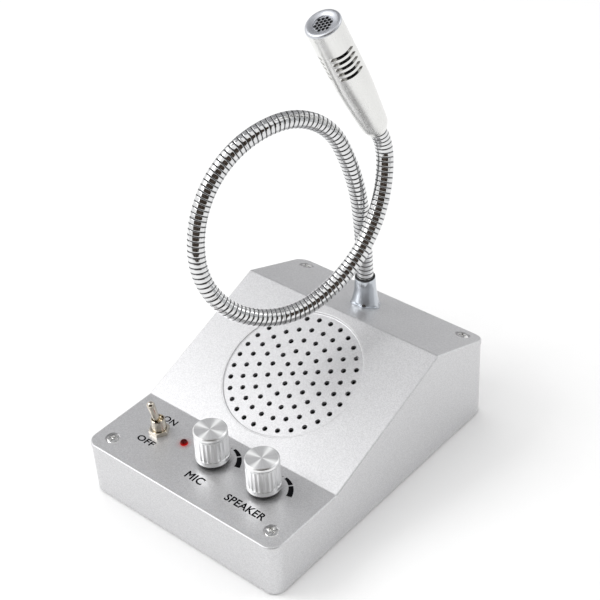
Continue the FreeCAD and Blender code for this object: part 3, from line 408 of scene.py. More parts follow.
def wound_chrome(name, tint):
    """Plated winding: bright crests, and painted shade, dark and dull, between the ribs."""
    finish = Finish(name)
    depth = finish.node("ShaderNodeAttribute", {"attribute_name": "groove"}, (), "Fac")
    haze = finish.noise(0.004, 3)
    # Painted shade: the grooves between the ribs are darkened and dulled.
    painted_groove_shade = (depth * 3).maths("MINIMUM", 1) ** 0.8
    tone = finish.mix(painted_groove_shade, finish.mix(haze, shade(tint, 0.93), tint), (0.03, 0.03, 0.032))
    finish.set(Base_Color=tone, Metallic=1.0, Roughness=0.05 + 0.05 * haze + 0.35 * painted_groove_shade)
    return finish.material


# The compass angle, doubled, of the painted highlight wedges on the turned tops, and the widths of
# the tool's marks.
HIGHLIGHT_WEDGE_TURN = math.radians(16)
FINE_MARKS, COARSE_MARKS = 0.16 * MM, 0.53 * MM


def spun_metal(name, colour, axis):
    """Aluminium turned in a lathe: rings about an upright axis in its normal, with painted
    highlight wedges and painted streaks of sheen in its colour.
    """
    finish = Finish(name)
    moved = finish.vector("SUBTRACT", finish.spot, (axis[0], axis[1], 0))
    parts = finish.node("ShaderNodeSeparateXYZ", None, (moved,))
    across, deep = parts, finish.other(parts, "Y")
    distance = (across * across + deep * deep).maths("SQRT")
    rings = (distance * (2 * math.pi / FINE_MARKS)).maths("SINE")
    coarse = (distance * (2 * math.pi / COARSE_MARKS)).maths("SINE")
    outward = finish.vector(
        "NORMALIZE", finish.node("ShaderNodeCombineXYZ", None, (across, deep, 0)))
    straight = finish.node("ShaderNodeNewGeometry", None, (), "Normal")
    upward = finish.other(finish.node("ShaderNodeSeparateXYZ", None, (straight,)), "Z")
    top = upward.maths("GREATER_THAN", 0.9)
    slope = (rings * 0.05 + coarse * 0.03) * top
    steep = finish.node("ShaderNodeCombineXYZ", None, (slope, slope, slope))
    normal = finish.vector("NORMALIZE", finish.vector("MULTIPLY_ADD", outward, steep, straight))
    way = finish.node("ShaderNodeSeparateXYZ", None, (outward,))
    east, north = way, finish.other(way, "Y")
    # Painted highlight: a bow-tie of bright wedges on the turned top, fixed to the piece.
    highlight_fan = ((east * east - north * north) * math.cos(HIGHLIGHT_WEDGE_TURN)
           + east * north * (2 * math.sin(HIGHLIGHT_WEDGE_TURN)))
    painted_wedge_highlight = (highlight_fan * highlight_fan) ** 4
    # Painted sheen: lighter and darker streaks round the axis, on the top and on the flutes.
    painted_sheen_streaks = finish.noise(0.22, 4, 0.65, outward)
    # The share of the lighter tone is painted highlight and sheen; the wedges also lower the
    # metallic so that they look brighter.
    light = top * (painted_wedge_highlight * 0.8 + painted_sheen_streaks * 0.9 - 0.3) + (1 - top) * (painted_sheen_streaks * 0.5 + 0.5)
    tone = finish.mix(light, shade(colour, 0.76), shade(colour, 1.13))
    finish.set(Base_Color=tone, Metallic=1 - top * (0.15 + 0.5 * painted_wedge_highlight),
               Roughness=0.28 + 0.08 * painted_sheen_streaks + 0.14 * top, Normal=normal)
    return finish.material


def moulded(name, colour, roughness, grain=0.0006):
    """Moulded plastic or rubber with a fine texture and dusty patches."""
    finish = Finish(name)
    fine = finish.noise(grain, 3)
    dust = finish.noise(0.01, 3)
    tone = finish.mix(dust, colour, shade(colour, 1.5))
    finish.set(Base_Color=tone, Roughness=roughness + 0.12 * fine,
               Normal=finish.bump(fine, 0.00003))
    return finish.material


def woven(name, colour, pitch):
    """Open cloth: threads over and under each other."""
    finish = Finish(name)
    warp = finish.node("ShaderNodeTexWave", {"bands_direction": "X"},
                       {"Vector": finish.spot, "Scale": 0.32 / pitch})
    weft = finish.node("ShaderNodeTexWave", {"bands_direction": "Y"},
                       {"Vector": finish.spot, "Scale": 0.32 / pitch}, "Fac")
    weave = finish.other(warp, "Fac") * weft
    finish.set(Base_Color=finish.mix(weave, shade(colour, 0.5), shade(colour, 1.6)), Roughness=0.9,
               Normal=finish.bump(weave, 0.0001))
    return finish.material


def board_finish(name, colour):
    """Solder mask with copper runs that show through."""
    finish = Finish(name)
    runs = finish.node("ShaderNodeTexBrick", {"offset": 0.5}, {
        "Vector": finish.spot, "Scale": 120, "Mortar Size": 0.035, "Color1": opaque(colour),
        "Color2": opaque(shade(colour, 1.2)), "Mortar": opaque(shade(colour, 2.0))})
    finish.set(Base_Color=runs, Roughness=0.32 + 0.1 * finish.noise(0.004), Coat_Weight=0.4)
    return finish.material


def red_lens(name, glow):
    """Dark red plastic, lit from inside near its foot."""
    finish = Finish(name)
    depth = finish.noise(0.0012)
    height = finish.other(finish.node("ShaderNodeSeparateXYZ", None, (finish.spot,)), "Z")
    lit = ((DECK + 1.7 * MM - height) / (1.4 * MM)).clamped() ** 2
    tone = finish.mix(depth, (0.02, 0.0003, 0.0003), (0.06, 0.001, 0.001))
    finish.set(Base_Color=tone, Roughness=0.04 + 0.04 * depth, Specular_IOR_Level=0.2,
               Emission_Color=finish.mix(lit, (0.02, 0, 0), (0.75, 0.006, 0.006)),
               Emission_Strength=glow)
    return finish.material


def printing_ink(name, colour):
    """Screen-printed ink, slightly uneven."""
    finish = Finish(name)
    grain = finish.noise(0.0004)
    finish.set(Base_Color=finish.mix(grain, colour, shade(colour, 1.8)), Specular_IOR_Level=0.0,
               Roughness=0.55 + 0.15 * grain, Normal=finish.bump(grain, 0.000006))
    return finish.material


FINISHES = {}


def mix_finishes():
    """Make every finish, under the name of the slot that it dresses."""
    case = settings("case")
    low, high = box("power_led")
    FINISHES.update({
        "case_paint": silver_paint("case_paint", case.paint, case.flake,
                                   ((low.x + high.x) / 2, (low.y + high.y) / 2, DECK)),
        "rubber_black": moulded("rubber_black", (0.022, 0.022, 0.023), 0.72),
        "steel": plain_metal("steel", (0.62, 0.62, 0.63), 0.28),
        "speaker_cloth": woven("speaker_cloth", (0.006, 0.006, 0.006), 0.0007),
        "speaker_paper": moulded("speaker_paper", (0.07, 0.07, 0.068), 0.85, 0.0012),
        "magnet": moulded("magnet", (0.10, 0.10, 0.11), 0.55, 0.0003),
        "board": board_finish("board", (0.03, 0.17, 0.08)),
        "aluminium": plain_metal("aluminium", (0.76, 0.76, 0.78), 0.32),
        "black_plastic": moulded("black_plastic", (0.018, 0.018, 0.019), 0.42, 0.0003),
        "nickel": chrome("nickel", (0.62, 0.575, 0.50)),
        "zinc": chrome("zinc", (0.80, 0.80, 0.79), 0.08),
        "chrome": chrome("chrome", (0.56, 0.59, 0.63), 0.13),
        "wound_chrome": wound_chrome("wound_chrome", (0.80, 0.805, 0.81)),
        "brass": plain_metal("brass", (0.76, 0.58, 0.28), 0.3),
        "red_lens": red_lens("red_lens", settings("switch").glow),
        "brushed_aluminium": plain_metal("brushed_aluminium", (0.60, 0.615, 0.65), 0.34, 0.00025),
        "ink": printing_ink("ink", case.ink),
        "spun_aluminium": plain_metal("spun_aluminium", (0.83, 0.84, 0.86), 0.18, 0.0003),
    })


# Meshes

def mesh_from(build, name, edge_angle=EDGE):
    """A smooth-shaded mesh from a function that fills a bmesh."""
    work = bmesh.new()
    build(work)
    bmesh.ops.remove_doubles(work, verts=work.verts, dist=TINY)
    bmesh.ops.recalc_face_normals(work, faces=work.faces)
    mesh = bpy.data.meshes.new(name)
    work.to_mesh(mesh)
    work.free()
    smooth(mesh, edge_angle)
    return mesh


def smooth(mesh, edge_angle=EDGE):
    """Shade a mesh smooth, with its edges sharp past an angle."""
    mesh.shade_smooth()
    mesh.set_sharp_from_angle(angle=edge_angle)


def turned(work, rings, steps, closed=False):
    """Turn a profile about Z. A ring is a radius and a height, or a function of the angle."""
    loops = []
    for ring in rings:
        loop = []
        for step in range(steps):
            angle = 2 * math.pi * step / steps
            radius, height = ring(angle) if callable(ring) else ring
            x, y = radius * math.cos(angle), radius * math.sin(angle)
            loop.append(work.verts.new((x, y, height)))
            if not callable(ring) and ring[0] < TINY:
                break
        loops.append(loop)
    pairs = list(zip(loops, loops[1:]))
    if closed:
        pairs.append((loops[-1], loops[0]))
    for low, high in pairs:
        join_loops(work, low, high)


def join_loops(work, low, high):
    """Faces between two rings, either of which may be one point."""
    steps = max(len(low), len(high))
    for step in range(steps):
        after = (step + 1) % steps
        corners = []
        for loop, number in ((low, step), (low, after), (high, after), (high, step)):
            corner = loop[number] if len(loop) > 1 else loop[0]
            if corner not in corners:
                corners.append(corner)
        if len(corners) > 2:
            work.faces.new(corners)


def lathe(name, rings, steps=96, closed=False, edge_angle=EDGE):
    """A turned mesh."""
    return mesh_from(lambda work: turned(work, rings, steps, closed), name, edge_angle)


def in_mm(*points):
    """Points of a profile that are given in millimetres."""
    return [(radius * MM, height * MM) for radius, height in points]


def block(work, size, centre):
    """Add a box."""
    bmesh.ops.create_cube(work, size=1)
    bmesh.ops.scale(work, vec=size, verts=work.verts)
    bmesh.ops.translate(work, vec=centre, verts=work.verts)


def shift(mesh, x, y, z=0.0):
    """Move a mesh."""
    mesh.transform(Matrix.Translation((x, y, z)))


def arc(centre, radius, start, end, count):
    """Points of a round edge in a profile, angles in degrees from outward to up."""
    points = []
    for number in range(count + 1):
        angle = math.radians(start + (end - start) * number / count)
        points.append((centre[0] + radius * math.cos(angle), centre[1] + radius * math.sin(angle)))
    return points


def hexagon(flats, angle):
    """The radius of a hexagon at an angle, with flats square to Y."""
    off_flat = (angle + math.pi / 2 + math.pi / 6) % (math.pi / 3) - math.pi / 6
    return flats / 2 / math.cos(off_flat)


def nut(name, flats, height, bore, steps=144):
    """A hexagon nut, its corners chamfered as a cone."""
    def rim(angle):
        radius = hexagon(flats, angle)
        return radius, height - (radius - flats / 2) * 0.6

    def foot(angle):
        radius = hexagon(flats, angle)
        return radius, (radius - flats / 2) * 0.3
    rings = [(bore, 0), (flats / 2, 0), foot, rim, (flats / 2, height), (bore + 0.2 * MM, height),
             (bore, height - 0.2 * MM)]
    return lathe(name, rings, steps, closed=True)


def place_at(at, direction=UP, roll=0.0):
    """A matrix that sets Z along a direction, at a point."""
    turn = UP.rotation_difference(Vector(direction)).to_matrix().to_4x4()
    return Matrix.Translation(at) @ turn @ Matrix.Rotation(roll, 4, "Z")


def linked(name, data):
    """A new object in the scene."""
    made = bpy.data.objects.new(name, data)
    bpy.context.scene.collection.objects.link(made)
    return made


def show(name, mesh, body, slot, replaced=(), finish=None):
    """Put a finished mesh in the scene, on its body and in its finish."""
    piece = linked(name, mesh)
    mesh.materials.clear()
    mesh.materials.append(finish or FINISHES[slot])
    if body:
        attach(piece, body)
    if replaced:
        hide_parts(*replaced)
    return piece


def joined(name, meshes):
    """Several meshes as one."""
    work = bmesh.new()
    for mesh in meshes:
        work.from_mesh(mesh)
    whole = bpy.data.meshes.new(name)
    work.to_mesh(whole)
    work.free()
    return whole


# Geometry nodes

class Recipe(Tree):
    """A geometry node tree with named inputs, that ends in real geometry with a material."""

    def __init__(self, name, inputs):
        self.name = name
        group = bpy.data.node_groups.new(name, "GeometryNodeTree")
        super().__init__(group)
        self.sockets = {}
        given = group.interface
        self.sockets["Geometry"] = given.new_socket(
            name="Geometry", in_out="INPUT", socket_type="NodeSocketGeometry")
        for label, kind in inputs.items():
            self.sockets[label] = given.new_socket(
                name=label, in_out="INPUT", socket_type="NodeSocket" + kind)
        self.sockets["Material"] = given.new_socket(
            name="Material", in_out="INPUT", socket_type="NodeSocketMaterial")
        given.new_socket(name="Geometry", in_out="OUTPUT", socket_type="NodeSocketGeometry")
        self.start = group.nodes.new("NodeGroupInput")

    def given(self, label):
        """One of the named inputs."""
        return Wire(self, self.start.outputs[label])

    def store(self, geometry, name, value):
        """Geometry with a number kept on each point."""
        options = {"data_type": "FLOAT", "domain": "POINT"}
        return self.node("GeometryNodeStoreNamedAttribute", options,
                         {"Geometry": geometry, "Name": name, "Value": value})

    def stored(self, name, kind="FLOAT"):
        """What is kept on the points under a name."""
        return self.node("GeometryNodeInputNamedAttribute", {"data_type": kind}, {"Name": name})

    def shape(self, label):
        """The geometry of an object that is given."""
        return self.node("GeometryNodeObjectInfo", {"transform_space": "ORIGINAL"},
                         {"Object": self.given(label)}, "Geometry")

    def spun(self):
        """A turn about Z by the spin that is kept on each point."""
        return self.node("FunctionNodeAxisAngleToRotation", None,
                         {"Axis": (0, 0, 1), "Angle": self.stored("spin")})

    def finish(self, geometry):
        """End in real geometry with its material."""
        real = self.node("GeometryNodeRealizeInstances", None, (geometry,))
        dressed = self.node("GeometryNodeSetMaterial", None,
                            {"Geometry": real, "Material": self.given("Material")})
        self.node("NodeGroupOutput", None, (dressed,))

    def make(self, base, name, material, **inputs):
        """Run the tree on an object and give the plain mesh that comes out."""
        maker = linked(name, base)
        modifier = maker.modifiers.new(self.name, "NODES")
        modifier.node_group = self.group
        modifier[self.sockets["Material"].identifier] = material
        for label, given in inputs.items():
            modifier[self.sockets[label.replace("_", " ")].identifier] = given
        maker.update_tag()
        seen = maker.evaluated_get(bpy.context.evaluated_depsgraph_get())
        mesh = bpy.data.meshes.new_from_object(seen)
        mesh.name = name
        maker.modifiers.remove(modifier)
        bpy.data.objects.remove(maker)
        return mesh


def winding_recipe():
    """A ribbed tube wound along a curve, kept between two lengths."""
    tree = Recipe("neck_winding", {
        "Crest Radius": "Float", "Groove Depth": "Float", "Pitch": "Float", "Fullness": "Float",
        "Rings": "Int", "Facets": "Int", "From": "Float", "To": "Float"})
    rail = tree.node("GeometryNodeResampleCurve", {"mode": "COUNT"}, {
        "Curve": tree.given("Geometry"), "Count": tree.given("Rings")})
    length = tree.node("GeometryNodeSplineParameter", None, (), "Length")
    rail = tree.store(rail, "along", length)
    circle = tree.node("GeometryNodeCurvePrimitiveCircle", {"mode": "RADIUS"}, {
        "Resolution": tree.given("Facets"), "Radius": tree.given("Crest Radius")})
    turn = tree.node("GeometryNodeSplineParameter", None, (), "Factor")
    circle = tree.store(circle, "around", turn)
    tube = tree.node("GeometryNodeCurveToMesh", None, {"Curve": rail, "Profile Curve": circle})
    along = tree.stored("along")
    phase = (along / tree.given("Pitch") + tree.stored("around")).fraction()
    share = abs(phase * 2 - 1) ** tree.given("Fullness")
    groove = share * tree.given("Groove Depth")
    tube = tree.store(tube, "groove", share)
    inward = tree.node("ShaderNodeVectorMath", {"operation": "SCALE"}, {
        "Vector": tree.node("GeometryNodeInputNormal"), "Scale": groove * -1})
    wound = tree.node("GeometryNodeSetPosition", None, {"Geometry": tube, "Offset": inward})
    before = along.maths("LESS_THAN", tree.given("From") - 0.01 * MM)
    after = along.maths("GREATER_THAN", tree.given("To") + 0.01 * MM)
    kept = tree.node("GeometryNodeDeleteGeometry", {"domain": "POINT"}, {
        "Geometry": wound, "Selection": before + after})
    tree.finish(kept)
    return tree


def pierced_recipe():
    """A disc with a hole at each point of a mesh."""
    tree = Recipe("pierced_disc", {
        "Radius": "Float", "Hole Radius": "Float", "Thickness": "Float", "Hole Facets": "Int"})
    edge = tree.node("GeometryNodeCurvePrimitiveCircle", {"mode": "RADIUS"}, {
        "Resolution": 96, "Radius": tree.given("Radius")})
    hole = tree.node("GeometryNodeCurvePrimitiveCircle", {"mode": "RADIUS"}, {
        "Resolution": tree.given("Hole Facets"), "Radius": tree.given("Hole Radius")})
    holes = tree.node("GeometryNodeInstanceOnPoints", None, (tree.given("Geometry"), None, hole))
    holes = tree.node("GeometryNodeRealizeInstances", None, (holes,))
    both = tree.group.nodes.new("GeometryNodeJoinGeometry")
    tree.feed(both.inputs[0], edge)
    tree.feed(both.inputs[0], holes)
    flat = tree.node("GeometryNodeFillCurve", {"mode": "NGONS"}, (Wire(tree, both.outputs[0]),))
    thick = tree.node("GeometryNodeExtrudeMesh", {"mode": "FACES"}, {
        "Mesh": flat, "Offset Scale": tree.given("Thickness"), "Individual": False})
    tree.finish(thick)
    return tree


def slotted_recipe():
    """A shell with a cutter's shape taken out of it at each point of a mesh."""
    tree = Recipe("slotted_shell", {"Cutter": "Object", "Spots": "Object"})
    cutters = tree.node("GeometryNodeInstanceOnPoints", None, {
        "Points": tree.shape("Spots"), "Instance": tree.shape("Cutter"), "Rotation": tree.spun()})
    cutters = tree.node("GeometryNodeRealizeInstances", None, (cutters,))
    cut = tree.node("GeometryNodeMeshBoolean", {"operation": "DIFFERENCE", "solver": "EXACT"}, {
        "Mesh 1": tree.given("Geometry"), "Mesh 2": cutters})
    tree.finish(cut)
    return tree


def scattered_recipe():
    """A shape set on each point of a mesh, upright along the point's own direction."""
    tree = Recipe("set_on_points", {"Shape": "Object", "Size": "Float"})
    turn = tree.node("FunctionNodeAlignRotationToVector", {"axis": "Z"},
                     {"Vector": tree.stored("facing", "FLOAT_VECTOR")})
    both = tree.node("FunctionNodeRotateRotation", {"rotation_space": "LOCAL"}, (turn, tree.spun()))
    made = tree.node("GeometryNodeInstanceOnPoints", None, {
        "Points": tree.given("Geometry"), "Instance": tree.shape("Shape"), "Rotation": both,
        "Scale": tree.given("Size")})
    tree.finish(made)
    return tree


def points_mesh(name, spots, directions=None, spins=None):
    """A mesh of loose points, each with the way that it faces and its turn."""
    mesh = bpy.data.meshes.new(name)
    mesh.from_pydata([tuple(spot) for spot in spots], [], [])
    if directions:
        facing = mesh.attributes.new("facing", "FLOAT_VECTOR", "POINT")
        facing.data.foreach_set("vector", [part for way in directions for part in way])
        spin = mesh.attributes.new("spin", "FLOAT", "POINT")
        spin.data.foreach_set("value", spins)
    return mesh


# Pieces of the case

CASE_DEPTH, FRONT_HEIGHT, RIDGE_HEIGHT, BACK_HEIGHT = 150 * MM, 28 * MM, 56 * MM, 42 * MM
# Shares of the case's depth, and of the slope's length from the fold to the grille's middle.
FRONT_DECK_SHARE, REAR_DECK_SHARE, GRILLE_SHARE = 0.27, 0.25, 0.518
FOLD = Vector((0, CASE_DEPTH * (FRONT_DECK_SHARE - 0.5), FRONT_HEIGHT))
RIDGE = Vector((0, CASE_DEPTH * (0.5 - REAR_DECK_SHARE), RIDGE_HEIGHT))
SLOPE = math.atan2(RIDGE.z - FOLD.z, RIDGE.y - FOLD.y)
REAR_SLOPE = math.atan2(RIDGE_HEIGHT - BACK_HEIGHT, CASE_DEPTH * REAR_DECK_SHARE)
GRILLE_CENTRE = FOLD.lerp(RIDGE, GRILLE_SHARE)
GRILLE_RADIUS, GRILLE_DEPTH = 32.9 * MM, 0.6 * MM
SCREW_SIDE, SCREW_SEAT, SCREW_RADIUS = 46.4 * MM, 1 * MM, 3 * MM
FRONT_SCREW = Vector((0, -66 * MM, FRONT_HEIGHT))
REAR_SCREW = Vector((0, 68.25 * MM, 44.52 * MM))
# The turn of the first screw's cross, and what each next one adds to it, in radians.
SCREW_TURNS = (0.35, 1.1)


class INTERCOM_OT_case(bpy.types.Operator):
    """Finish the case, its inner parts, its sockets and its feet"""

    bl_idname = "intercom.case"
    bl_label = "Case and inner parts"

    def execute(self, context):
        mix_finishes()
        for name, part in NODES.items():
            for slot in part.material_slots:
                own = slot.material.name.split(".")[0] if slot.material else ""
                if own not in FINISHES:
                    raise RuntimeError("no finish for the slot %s of %s" % (own, name))
                slot.material = FINISHES[own]
        rim()
        return {"FINISHED"}


def rim():
    """The rounded step down into the grille's recess."""
    width = settings("case").rim_width
    lift, steps = 0.04 * MM, 12
    outer = GRILLE_RADIUS + width * 0.55
    inner = GRILLE_RADIUS - width * 0.45
    under = -GRILLE_DEPTH - 0.1 * MM
    curve = []
    for number in range(steps + 1):
        share = number / steps
        drop = (1 - math.cos(math.pi * share)) / 2
        curve.append((outer - (outer - inner) * share, lift - (GRILLE_DEPTH - lift * 0.2) * drop))
    mesh = lathe("grille_rim", curve + [(inner, under), (outer, under)], 192, closed=True)
    mesh.transform(Matrix.Translation(GRILLE_CENTRE) @ Matrix.Rotation(SLOPE, 4, "X"))
    show("grille_rim", mesh, "case", "case_paint")


class INTERCOM_OT_screws(bpy.types.Operator):
    """Make the four domed cross-head screws of the cover"""

    bl_idname = "intercom.screws"
    bl_label = "Cover screws"

    def execute(self, context):
        holder = linked("screw_shape", screw_head())
        rear = Matrix.Rotation(-REAR_SLOPE, 4, "X") @ UP
        spots, ways, spins = [], [], []
        for spot, way in ((FRONT_SCREW, UP), (REAR_SCREW, rear)):
            for side in (-1, 1):
                spots.append(spot + Vector((side * SCREW_SIDE, 0, 0)) - way * SCREW_SEAT)
                ways.append(way)
                spins.append(SCREW_TURNS[0] + SCREW_TURNS[1] * len(spins))
        base = points_mesh("screw_points", spots, ways, spins)
        mesh = scattered_recipe().make(base, "cover_screw_heads", FINISHES["zinc"],
                                       Shape=holder, Size=1.0)
        bpy.data.objects.remove(holder)
        smooth(mesh)
        show("cover_screw_heads", mesh, "case", "nickel", ["cover_screws"], FINISHES["zinc"])
        return {"FINISHED"}


def screw_head():
    """A domed head with a cross recess, and its shank."""
    height, dome, edge_height = 0.95 * MM, 0.5 * MM, 0.35 * MM
    slot_depth, arm, half, slope = 0.6 * MM, 1.75 * MM, 0.36 * MM, 0.12 * MM
    shank, shank_length = 1.4 * MM, 7.5 * MM
    top, rounds = SCREW_RADIUS * 0.94, 28

    def recess(x, y):
        """How far inside the cross a point lies, from 0 to 1."""
        deep = 0.0
        for along, across in ((x, y), (y, x)):
            within = min(half - abs(across), arm - abs(along))
            deep = max(deep, min(1.0, max(0.0, within / slope)))
        return deep

    def crown(radius):
        """A ring of the head's top."""
        def ring(angle):
            sunk = slot_depth * recess(radius * math.cos(angle), radius * math.sin(angle))
            return radius, height - dome * (radius / SCREW_RADIUS) ** 2 - sunk
        return ring
    rings = [(0, height - slot_depth)]
    rings += [crown(top * number / rounds) for number in range(1, rounds + 1)]
    rings += [(SCREW_RADIUS, edge_height), (SCREW_RADIUS, 0), (shank, 0), (shank, -shank_length),
              (0, -shank_length)]
    return lathe("screw_head", rings, 96)


# The knobs

FLUTE_EDGE = math.radians(40)


class INTERCOM_OT_knobs(bpy.types.Operator):
    """Make the two fluted level knobs on their black cores"""

    bl_idname = "intercom.knobs"
    bl_label = "Level knobs"

    def execute(self, context):
        for name, body in LEVEL_CONTROLS.items():
            axis = JOINTS[name]["pos_m"]
            self.cap(name, body, axis)
            self.core(name, body, axis)
        return {"FINISHED"}

    def cap(self, name, body, axis):
        """The fluted cap, with its plain band as a ring round the foot."""
        knob = settings("knobs")
        foot, top = KNOB_LOW.z, KNOB_HIGH.z
        band = (KNOB_HIGH.x - KNOB_LOW.x) / 2
        radius = band - 0.15 * MM
        inner = radius - 1.1 * MM
        band_top = foot + knob.band_height
        groove = top - knob.groove_below
        flute_top = groove - 0.7 * MM

        def fluted(height, share):
            def ring(angle):
                turn = (angle * knob.flutes / (2 * math.pi)) % 1
                hollow = max(0.0, 1 - (abs(turn * 2 - 1) / 0.8) ** 2)
                return radius - knob.flute_depth * hollow * share, height
            return ring
        runout, groove_floor, groove_mouth = 0.5 * MM, 0.12 * MM, 0.2 * MM
        rings = [(0, foot + 1 * MM), (inner, foot + 1 * MM), (inner, foot + 0.05 * MM)]
        rings += [fluted(foot + 0.05 * MM, 1), fluted(flute_top - runout, 1)]
        rings += [fluted(flute_top - runout * (1 - up), math.sqrt(1 - up * up))
                  for up in (0.4, 0.7, 0.9, 1)]
        rings += [(radius, groove - groove_mouth), (radius - knob.groove, groove - groove_floor),
                  (radius - knob.groove, groove + groove_floor), (radius, groove + groove_mouth)]
        face = radius - knob.chamfer
        rings += [(radius, top - knob.chamfer), (radius - 0.05 * MM, top - knob.chamfer * 0.75),
                  (face + 0.05 * MM, top - 0.06 * MM), (face, top)]
        rings += [(face * share, top - knob.dish * (1 - share * share))
                  for share in (0.98, 0.9, 0.75, 0.6, 0.45, 0.3, 0.15, 0.05, 0)]
        cap = lathe(name + "_cap", rings, knob.flutes * 12, edge_angle=FLUTE_EDGE)
        rings = [(inner + 0.1 * MM, foot), (band - 0.2 * MM, foot), (band, foot + 0.2 * MM),
                 (band, band_top - 0.12 * MM), (band - 0.1 * MM, band_top),
                 (inner + 0.1 * MM, band_top)]
        collar = lathe(name + "_band", rings, 144, closed=True)
        mesh = joined(name + "_cap", [cap, collar])
        shift(mesh, *axis[:2])
        finish = spun_metal(name + "_spun", (0.88, 0.885, 0.89), axis)
        show(name + "_cap", mesh, body, "spun_aluminium", [name + "_knob_cap"], finish)

    def core(self, name, body, axis):
        """The black skirt under the cap."""
        foot, top = CORE_LOW.z, KNOB_LOW.z
        skirt = (CORE_HIGH.x - CORE_LOW.x) / 2
        bore = 6.1 * MM
        inner_top = CORE_HIGH.z - 9.0 * MM
        rings = [(bore, foot), (skirt - 0.25 * MM, foot), (skirt, foot + 0.25 * MM),
                 (skirt, top - 0.01 * MM), (skirt - 0.9 * MM, top),
                 (bore + 0.2 * MM, top + 0.8 * MM), (bore, inner_top)]
        mesh = lathe(name + "_core", rings, 96, closed=True)
        shift(mesh, *axis[:2])
        show(name + "_core", mesh, body, "black_plastic", [name + "_knob_core"])


# The switch and the light

THREAD_EDGE = math.radians(50)
# How far the lever leans back at rest.
LEVER_LEAN = math.radians(12.5)


class INTERCOM_OT_switch(bpy.types.Operator):
    """Make the toggle switch: threaded bushing, nut, lever, and the red light beside it"""

    bl_idname = "intercom.switch"
    bl_label = "Power switch and light"

    def execute(self, context):
        pivot = Vector(JOINTS["power_switch"]["pos_m"])
        self.bushing(pivot)
        self.nut(pivot)
        self.lever(pivot)
        self.light()
        return {"FINISHED"}

    def bushing(self, pivot):
        """The threaded bushing on the switch's plate."""
        switch = settings("switch")
        low, high = box("toggle_bushing")
        radius, bore, plate = 3.3 * MM, 2.6 * MM, 0.8 * MM
        top = high.z
        count = int((top - DECK) / switch.thread_pitch * 6)

        def thread(height):
            def ring(angle):
                phase = (height / switch.thread_pitch + angle / (2 * math.pi)) % 1
                return radius - switch.thread_depth * abs(2 * phase - 1), height
            return ring
        rings = [(bore, low.z), (radius, low.z), (radius, DECK - 0.2 * MM)]
        rings += [thread(DECK + (top - 0.3 * MM - DECK) * number / count)
                  for number in range(count + 1)]
        rings += [(radius - 0.3 * MM, top), (bore + 0.12 * MM, top), (bore, top - 0.15 * MM)]
        tube = lathe("switch_bushing", rings, 72, closed=True, edge_angle=THREAD_EDGE)

        def build(work):
            block(work, (high.x - low.x, high.y - low.y, plate), (0, 0, low.z + plate / 2))
            bmesh.ops.bevel(work, geom=work.edges[:], offset=0.15 * MM, segments=2,
                            affect="EDGES")
        whole = joined("switch_bushing", [tube, mesh_from(build, "switch_plate")])
        smooth(whole, THREAD_EDGE)
        shift(whole, pivot.x, pivot.y)
        show("switch_bushing", whole, "case", "nickel", ["toggle_bushing"])

    def nut(self, pivot):
        """The nut on the deck."""
        low, high = box("toggle_nut")
        mesh = nut("switch_nut", high.y - low.y, high.z - low.z, 3.32 * MM)
        shift(mesh, pivot.x, pivot.y, low.z)
        show("switch_nut", mesh, "case", "nickel", ["toggle_nut"])

    def lever(self, pivot):
        """The lever, with its ball in the bushing and a round tip."""
        ball, root, tip, length = 2.3 * MM, 1.45 * MM, 1.85 * MM, 15 * MM
        tail, tail_radius = 8.5 * MM, 0.8 * MM
        neck, shoulder = ball + 0.3 * MM, length - tip
        rings = [(0, -tail), (tail_radius - 0.2 * MM, -tail), (tail_radius, -tail + 0.2 * MM),
                 (tail_radius, -ball * 0.97)]
        rings += arc((0, 0), ball, -65, 52, 14)
        rings += [(root + 0.1 * MM, ball * 0.93), (root, neck)]
        rings += [(root + (tip - root) * share, neck + (shoulder - neck) * share)
                  for share in (0.25, 0.5, 0.75)]
        rings += arc((0, shoulder), tip, 0, 84, 12) + [(0, length)]
        mesh = lathe("switch_lever", rings, 56)
        mesh.transform(Matrix.Translation(pivot) @ Matrix.Rotation(LEVER_LEAN, 4, "X"))
        show("switch_lever", mesh, "toggle_lever", "nickel", ["toggle_lever"])

    def light(self):
        """The red light: its body under the deck and its domed top."""
        low, high = box("power_led")
        centre = (low + high) / 2
        radius, rim, dome = 1.5 * MM, 1.9 * MM, 1.8 * MM
        seat = DECK + 0.02 * MM
        spring = max(seat + 0.1 * MM, high.z - dome)
        rings = [(0, low.z), (rim, low.z), (rim, low.z + 0.95 * MM), (radius, low.z + 1.0 * MM),
                 (radius, seat), (dome, seat), (dome, spring)]
        rings += [point for point in arc((0, spring), dome, 8, 84, 10) if point[1] < high.z]
        mesh = lathe("power_light", rings + [(0, high.z)], 48)
        shift(mesh, centre.x, centre.y)
        show("power_light", mesh, "case", "red_lens", ["power_led"])


# What is printed on the deck

# Each word: its text, its middle across and from the front edge, its width and its height.
WORDS = [
    ("ON", -34.0 * MM, 32.4 * MM, 7.6 * MM, 3.4 * MM),
    ("OFF", -33.3 * MM, 16.5 * MM, 9.6 * MM, 3.4 * MM),
    ("MIC", 0.3 * MM, 12.4 * MM, 9.6 * MM, 4.2 * MM),
    ("SPEAKER", 29.0 * MM, 12.4 * MM, 21.5 * MM, 4.0 * MM),
]
# How much bolder the letters are than the font's, and how far apart.
LETTER_WEIGHT, LETTER_SPACE = 0.024, 1.06
# A volume mark: two swelling segments, as start and end angle from +X and their outer radii.
ARC_INNER = 10.1 * MM
ARC_SEGMENTS = [(75.0, 49.5, 11.4 * MM, 12.1 * MM), (46.0, 14.0, 12.1 * MM, 12.7 * MM)]
ARC_DOT = (83.0, 10.45 * MM, 0.26 * MM)


